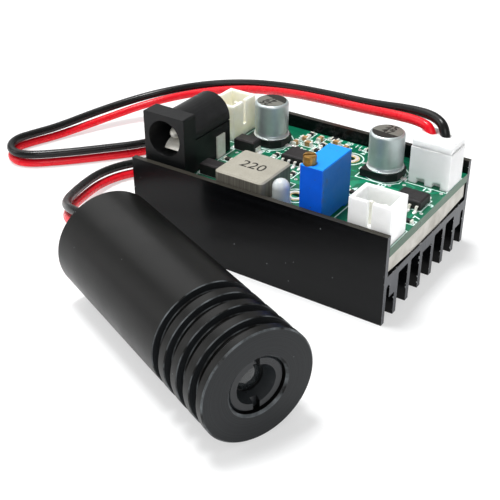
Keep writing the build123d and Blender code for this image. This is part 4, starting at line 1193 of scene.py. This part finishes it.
@dataclass
class DriverBoard(Assembly):
    """The board with its print, copper runs, vias, solder and small parts.

    Places are in millimetres from the heat sink's left end and front wall, seen from above, and a
    part's third number is its turn in degrees.
    """

    ink_mm: float = 0.2
    ink_thick_mm: float = 0.03
    run_thick_mm: float = 0.018
    layer_mm: float = 0.003
    print_from_mm: Spot = (0.15, 1.2)
    print_to_mm: Spot = (49.85, 30.8)
    outlined: tuple[tuple[str, float], ...] = (
        ("rear_right_header_shell", 0.4),
        ("front_header_shell", 0.35),
        ("rear_left_header_shell", 0.4),
        ("trimmer_body", 0.4),
        ("jack_housing", 0.35),
        ("inductor_body", 0.45),
        ("driver_chip_body", 0.2),
        ("switch_chip_body", 0.2),
        ("input_diode_terminals", 0.4),
        ("rectifier_terminals", 0.3),
    )
    can_print_mm: tuple[Spot, ...] = ((-3.8, 2.1), (-3.8, 3.8), (2.1, 3.8), (3.8, 2.1), (3.8, 0.8))
    can_ring_mm: float = 3.62
    pad_ring_mm: float = 2.35
    pad_ring_ink_mm: float = 0.26
    pad_radius_mm: float = 1.7
    # Rings: the radius of the middle line, the width and the thickness.
    pad_solder_mm: Size = (1.25, 0.5, 0.12)
    via_mm: Size = (0.22, 0.18, 0.035)
    pad_solder_up_mm: float = 0.1
    # A small part's bracket: its half length and half width, and half the gap at its ends.
    bracket_mm: Size = (1.25, 0.65, 0.2)
    leg_pitch_mm: float = 1.27
    leg_solder_in_mm: float = 0.25
    leg_solder_mm: Size = (0.36, 0.75, 0.24)
    moulded_edge_mm: float = 0.16
    shell_edge_mm: float = 0.12
    package_edge_mm: float = 0.07
    inductor_digits: Digits = Digits(2.3, bold_share=0.0)
    # The half width of the solder at the terminals of each of these.
    soldered: tuple[tuple[str, float], ...] = (
        ("input_diode_terminals", 0.95),
        ("rectifier_terminals", 0.95),
        ("left_capacitor_terminals", 0.6),
        ("right_capacitor_terminals", 0.6),
        ("inductor_terminals", 1.5),
    )
    terminal_solder_mm: Spot = (0.5, 0.22)
    chip_mm: Spot = (1.6, 0.8)
    chip_end_mm: float = 0.35
    chip_end_over_mm: float = 0.04
    chip_bevel_mm: float = 0.05
    chip_solder_mm: Size = (0.32, 0.42, 0.2)
    resistor_high_mm: float = 0.45
    capacitor_high_mm: float = 0.8
    resistors: tuple[Size, ...] = (
        (19.1, 29.3, 90.0), (23.2, 26.5, 90.0), (23.5, 24.1, 0.0), (26.6, 23.6, 90.0), (24.0, 29.9, 0.0),
        (31.6, 29.4, 0.0), (18.3, 18.4, 90.0), (20.4, 13.2, 0.0), (24.6, 13.6, 90.0), (30.9, 11.6, 90.0),
        (36.6, 13.6, 0.0), (33.0, 28.6, 90.0), (39.7, 17.0, 90.0), (44.6, 10.4, 0.0), (13.6, 13.8, 90.0),
        (20.2, 22.9, 0.0),
    )
    capacitors: tuple[Size, ...] = (
        (19.3, 26.9, 0.0), (25.3, 26.2, 0.0), (18.7, 24.4, 90.0), (17.6, 14.2, 0.0), (31.6, 16.6, 0.0),
        (41.9, 13.4, 90.0),
    )
    chips_in_cad: tuple[Size, ...] = (
        (20.9, 25.3, 0.0), (21.8, 28.2, 90.0), (25.1, 28.4, 0.0), (27.6, 27.4, 90.0), (12.0, 12.3, 0.0),
        (48.6, 10.1, 0.0), (30.0, 20.0, 90.0), (27.8, 16.0, 0.0), (33.5, 13.0, 0.0),
    )
    runs: tuple[tuple[float, tuple[Spot, ...]], ...] = (
        (0.9, ((42.2, 18.6), (40.2, 18.6), (38.6, 17.0), (38.6, 12.4), (41.2, 9.8))),
        (0.35, ((44.4, 19.4), (44.4, 21.2), (42.6, 21.8), (32.4, 18.4), (30.2, 18.4))),
        (0.35, ((45.7, 19.4), (45.7, 20.6), (47.2, 22.0))),
        (0.35, ((47.0, 19.4), (47.0, 20.2), (49.2, 22.2))),
        (0.5, ((44.4, 13.0), (44.4, 11.4), (42.9, 10.0), (42.9, 8.0))),
        (0.35, ((45.7, 13.0), (45.7, 11.6), (47.2, 10.1))),
        (0.35, ((48.2, 13.0), (48.2, 11.2))),
        (1.2, ((36.4, 18.6), (35.0, 17.2), (35.0, 11.6))),
        (0.35, ((24.5, 16.0), (24.5, 14.8), (26.0, 13.3), (29.4, 13.3), (30.6, 14.5), (32.2, 14.5))),
        (0.35, ((23.2, 16.0), (23.2, 13.0), (25.0, 11.4))),
        (0.35, ((21.9, 16.0), (21.9, 15.0), (20.4, 13.6))),
        (0.35, ((20.7, 16.0), (19.2, 14.5), (17.9, 14.5))),
        (0.35, ((20.7, 22.0), (20.7, 23.2), (19.4, 24.6))),
        (0.35, ((21.9, 22.0), (21.9, 25.4), (23.0, 26.6))),
        (0.35, ((23.2, 22.0), (23.2, 23.4), (25.3, 25.6), (25.3, 28.2))),
        (0.35, ((24.5, 22.0), (26.4, 22.0), (27.6, 23.2), (27.6, 26.8))),
        (0.8, ((28.6, 7.0), (31.8, 7.0), (32.4, 8.4), (32.4, 12.2))),
        (1.0, ((16.8, 12.2), (20.8, 11.8), (30.0, 11.8))),
        (0.35, ((30.6, 21.0), (33.2, 21.0))),
        (0.9, ((28.6, 21.6), (28.6, 19.0), (26.8, 17.4), (26.8, 14.6))),
        (0.35, ((17.8, 18.6), (16.2, 18.6), (15.2, 17.8))),
        (0.9, ((18.2, 22.0), (19.0, 21.2), (19.0, 16.4))),
        (0.35, ((42.0, 28.8), (38.0, 29.4), (33.4, 29.4))),
        (0.35, ((42.0, 24.8), (42.2, 21.2))),
        (0.8, ((18.4, 28.2), (18.4, 30.2), (30.0, 30.2))),
        (0.5, ((12.2, 13.4), (12.2, 15.8), (16.4, 15.8))),
    )
    vias: tuple[Spot, ...] = (
        (42.6, 21.0), (43.2, 12.3), (41.2, 11.4), (40.6, 19.4), (38.6, 14.8), (35.0, 15.4), (33.0, 16.2),
        (29.4, 14.6), (26.0, 12.6), (22.6, 14.4), (19.2, 20.6), (27.6, 24.9), (22.6, 30.2), (29.8, 28.9),
        (26.4, 21.0), (28.6, 22.2), (32.9, 24.6), (17.6, 16.6), (49.2, 21.6), (47.2, 21.2), (34.8, 29.6),
        (49.3, 13.6), (40.2, 8.6), (31.9, 9.6), (15.6, 13.4), (11.6, 15.6),
    )
    # Each number's place, height and turn.
    numbers: tuple[tuple[str, float, float, float, float], ...] = (
        ("3", 49.25, 16.9, 1.5, 90.0), ("7", 49.35, 12.0, 1.2, 90.0), ("12", 46.6, 21.4, 1.2, 0.0),
        ("4", 36.2, 15.1, 1.2, 0.0), ("10", 39.3, 18.9, 1.2, 0.0), ("2", 31.0, 28.2, 1.3, 0.0),
        ("8", 33.4, 22.6, 1.1, 0.0), ("5", 16.2, 19.2, 1.2, 0.0), ("1", 25.2, 15.0, 1.2, 0.0),
        ("6", 18.6, 12.3, 1.2, 0.0), ("14", 19.0, 21.6, 1.1, 90.0), ("9", 17.9, 27.7, 1.2, 0.0),
        ("11", 29.0, 29.9, 1.1, 0.0), ("21", 22.9, 25.0, 1.0, 0.0), ("16", 31.6, 18.2, 1.1, 0.0),
        ("18", 42.9, 11.6, 1.1, 0.0), ("13", 30.9, 13.4, 1.1, 0.0), ("20", 27.0, 30.1, 1.0, 0.0),
        ("22", 15.9, 12.0, 1.1, 0.0),
    )

    def spot(self, along: float, back: float) -> Vector:
        """Gives a place on the board's top, in metres, from its distances in millimetres."""
        corner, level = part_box("heatsink")[0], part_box("circuit_board")[1][2]
        return Vector((corner[0] + along * MM, corner[1] + back * MM, level))

    def pad_centres(self) -> list[Vector]:
        """Gives the middles of the two ring pads, at the board's top."""
        low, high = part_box("ring_pads")
        reach, level = self.pad_radius_mm * MM, self.spot(0, 0).z
        front = Vector((low[0] + reach, low[1] + reach, level))
        return [front, Vector((high[0] - reach, high[1] - reach, level))]

    def chips_placed(self) -> tuple[Size, ...]:
        """Gives the places of all small parts, those of the CAD too."""
        return self.resistors + self.capacitors + self.chips_in_cad

    def line(self, work: Mesh, path: tuple[Spot, ...], width_mm: float, thick_mm: float) -> None:
        """Lays a flat line along a path on the board, each stretch a little higher than the last.

        Args:
            work: The bmesh to add to.
            path: Its places on the board.
            width_mm: Its width.
            thick_mm: Its thickness.
        """
        for step, (start, end) in enumerate(zip(path, path[1:])):
            run = Vector(end) - Vector(start)
            high = thick_mm + self.layer_mm * (step % 3)
            centre = self.spot((start[0] + end[0]) / 2, (start[1] + end[1]) / 2)
            centre.z += high / 2 * MM
            turn = math.degrees(math.atan2(run.y, run.x))
            plate(work, centre, (run.length + width_mm, width_mm, high), turn)

    def ink(self, work: Mesh, *path: Spot) -> None:
        """Prints a line along a path on the board."""
        self.line(work, path, self.ink_mm, self.ink_thick_mm)

    def outline(self, work: Mesh, node: str, margin_mm: float) -> None:
        """Prints an outline round a part, as far as the board reaches.

        Args:
            work: The bmesh of the print.
            node: The part's CAD node.
            margin_mm: How far the line stands off the part.
        """
        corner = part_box("heatsink")[0]
        low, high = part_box(node)
        left, front = (
            max((low[i] - corner[i]) / MM - margin_mm, self.print_from_mm[i]) for i in (0, 1)
        )
        right, rear = (
            min((high[i] - corner[i]) / MM + margin_mm, self.print_to_mm[i]) for i in (0, 1)
        )
        self.ink(work, (left, front), (right, front), (right, rear), (left, rear), (left, front))

    def print_ink(self) -> None:
        """Prints the white outlines, rings, brackets and plain numbers."""
        work = bmesh.new()
        for node, margin in self.outlined:
            self.outline(work, node, margin)
        for node in ("left_capacitor_base", "right_capacitor_base"):
            x, y, _ = (middle(node) - Vector(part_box("heatsink")[0])) / MM
            for way in (-1, 1):
                self.ink(work, *((x + u, y + v * way) for u, v in self.can_print_mm))
            ring(work, self.spot(x, y), self.can_ring_mm, self.ink_mm, self.ink_thick_mm)
        for centre in self.pad_centres():
            ring(work, centre, self.pad_ring_mm, self.pad_ring_ink_mm, self.ink_thick_mm)
        half, aside, gap = self.bracket_mm
        for x, y, turn in self.chips_placed():
            for way in (-1, 1):
                bracket = ((-half, gap), (-half, aside), (half, aside), (half, gap))
                steps = [laid(turn, u, v * way) for u, v in bracket]
                self.ink(work, *((x + u, y + v) for u, v in steps))
        for text, x, y, height, turn in self.numbers:
            Digits(height, self.ink_thick_mm).write(work, text, self.spot(x, y), turn)
        finish_mesh(work, "board_print", SCREEN_INK)

    def copper(self) -> None:
        """Lays the masked copper runs and the tinned vias."""
        work = bmesh.new()
        for width, path in self.runs:
            self.line(work, path, width, self.run_thick_mm)
        finish_mesh(work, "masked_runs", MASKED_COPPER)
        work = bmesh.new()
        for x, y in self.vias:
            ring(work, self.spot(x, y), *self.via_mm, steps=16)
        finish_mesh(work, "tinned_vias", SOLDER)

    def solder(self) -> None:
        """Lays solder at the legs, terminals and ring pads."""
        work = bmesh.new()
        level = self.spot(0, 0).z
        for node in ("driver_chip_legs", "switch_chip_legs"):
            low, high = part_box(node)
            inset = self.leg_solder_in_mm * MM
            for side in (low[1] + inset, high[1] - inset):
                for step in (-1.5, -0.5, 0.5, 1.5):
                    along = middle(node).x + step * self.leg_pitch_mm * MM
                    dome(work, Vector((along, side, level)), self.leg_solder_mm)
        length, height = self.terminal_solder_mm
        for node, width in self.soldered:
            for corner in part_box(node):
                dome(work, Vector((corner[0], middle(node).y, level)), (length, width, height))
        length, width, height = self.chip_solder_mm
        for x, y, turn in self.chips_placed():
            for way in (-1, 1):
                along, aside = laid(turn, self.chip_mm[0] / 2 * way, 0.0)
                dome(work, self.spot(x + along, y + aside), (*laid(turn, length, width), height))
        for centre in self.pad_centres():
            raised = centre + Vector((0.0, 0.0, self.pad_solder_up_mm * MM))
            ring(work, raised, *self.pad_solder_mm, steps=48)
        finish_mesh(work, "solder_joints", SOLDER, smooth_deg=60.0)

    def chips(self) -> None:
        """Places the small parts that stand between the larger ones."""
        length, width = self.chip_mm
        end, over = self.chip_end_mm, self.chip_end_over_mm
        for places, height, name, finish, slot in (
            (self.resistors, self.resistor_high_mm, "small_resistors", CHIP_EPOXY, "chip_black"),
            (self.capacitors, self.capacitor_high_mm, "small_capacitors", TAN_CERAMIC, "ceramic_tan"),
        ):
            bodies, ends = bmesh.new(), bmesh.new()
            for x, y, turn in places:
                centre = self.spot(x, y) + Vector((0.0, 0.0, height / 2 * MM))
                plate(bodies, centre, (length - 2 * end, width, height), turn)
                for way in (-1, 1):
                    reach = (length - end) / 2 * way * MM
                    aside = Vector((*laid(turn, reach, 0.0), 0.0))
                    plate(ends, centre + aside, (end, width + over, height + over), turn)
            bevel_all(bodies, self.chip_bevel_mm, segments=1)
            bevel_all(ends, self.chip_bevel_mm, segments=1)
            finish_mesh(bodies, name, finish)
            finish_mesh(ends, f"{name}_ends", TIN_PLATE)

    def inductor_number(self) -> None:
        """Prints a plain number on the inductor's top."""
        work = bmesh.new()
        centre = middle("inductor_body")
        centre.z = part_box("inductor_body")[1][2]
        self.inductor_digits.write(work, "220", centre)
        finish_mesh(work, "inductor_number", DARK_INK)

    def build(self) -> None:
        """Builds and dresses the board."""
        self.dress(MASKED_BOARD, "circuit_board")
        self.dress(GOLD_WASH, "ring_pads")
        self.copper()
        self.print_ink()
        self.solder()
        self.chips()
        self.inductor_number()
        for side, segment_deg in (("left", 75.0), ("right", -95.0)):
            Can(self.nodes, side, segment_deg).build()
        packages = ("driver_chip_body", "switch_chip_body", "input_diode_body", "rectifier_body")
        shells = ("front_header_shell", "rear_right_header_shell", "lead_plug")
        self.dress(CHIP_EPOXY, *packages, "chip_resistors")
        self.dress(
            TIN_PLATE,
            "driver_chip_legs", "switch_chip_legs", "input_diode_terminals", "rectifier_terminals",
            "chip_ends", "inductor_terminals", "led_leads", "trimmer_pins",
            "front_header_pins", "rear_left_header_pins", "rear_right_header_pins",
            "plug_contacts", "jack_centre_pin", "jack_spring_contact", "jack_side_tab",
        )
        self.dress(TAN_CERAMIC, "chip_capacitors")
        self.dress(INDUCTOR_GREY, "inductor_body")
        self.dress(MILKY_EPOXY, "indicator_led")
        self.dress(TRIMMER_BLUE, "trimmer_body")
        self.dress(AGED_BRASS, "trimmer_screw")
        self.dress(WHITE_NYLON, *shells)
        self.dress(CREAM_NYLON, "rear_left_header_shell")
        self.dress(JACK_PLASTIC, "jack_housing")
        self.soften(self.moulded_edge_mm, "inductor_body", "trimmer_body", "jack_housing")
        self.soften(self.shell_edge_mm, *shells, "rear_left_header_shell")
        self.soften(self.package_edge_mm, *packages)


def main() -> None:
    """Builds the scene in order."""
    logging.basicConfig(level=logging.INFO, format="%(name)s: %(message)s")
    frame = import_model()
    nodes = frame["nodes"]
    Studio().build()
    Lead().build()
    LaserHead(nodes).build()
    HeatSink(nodes).build()
    DriverBoard(nodes).build()


if __name__ == "__main__":
    main()
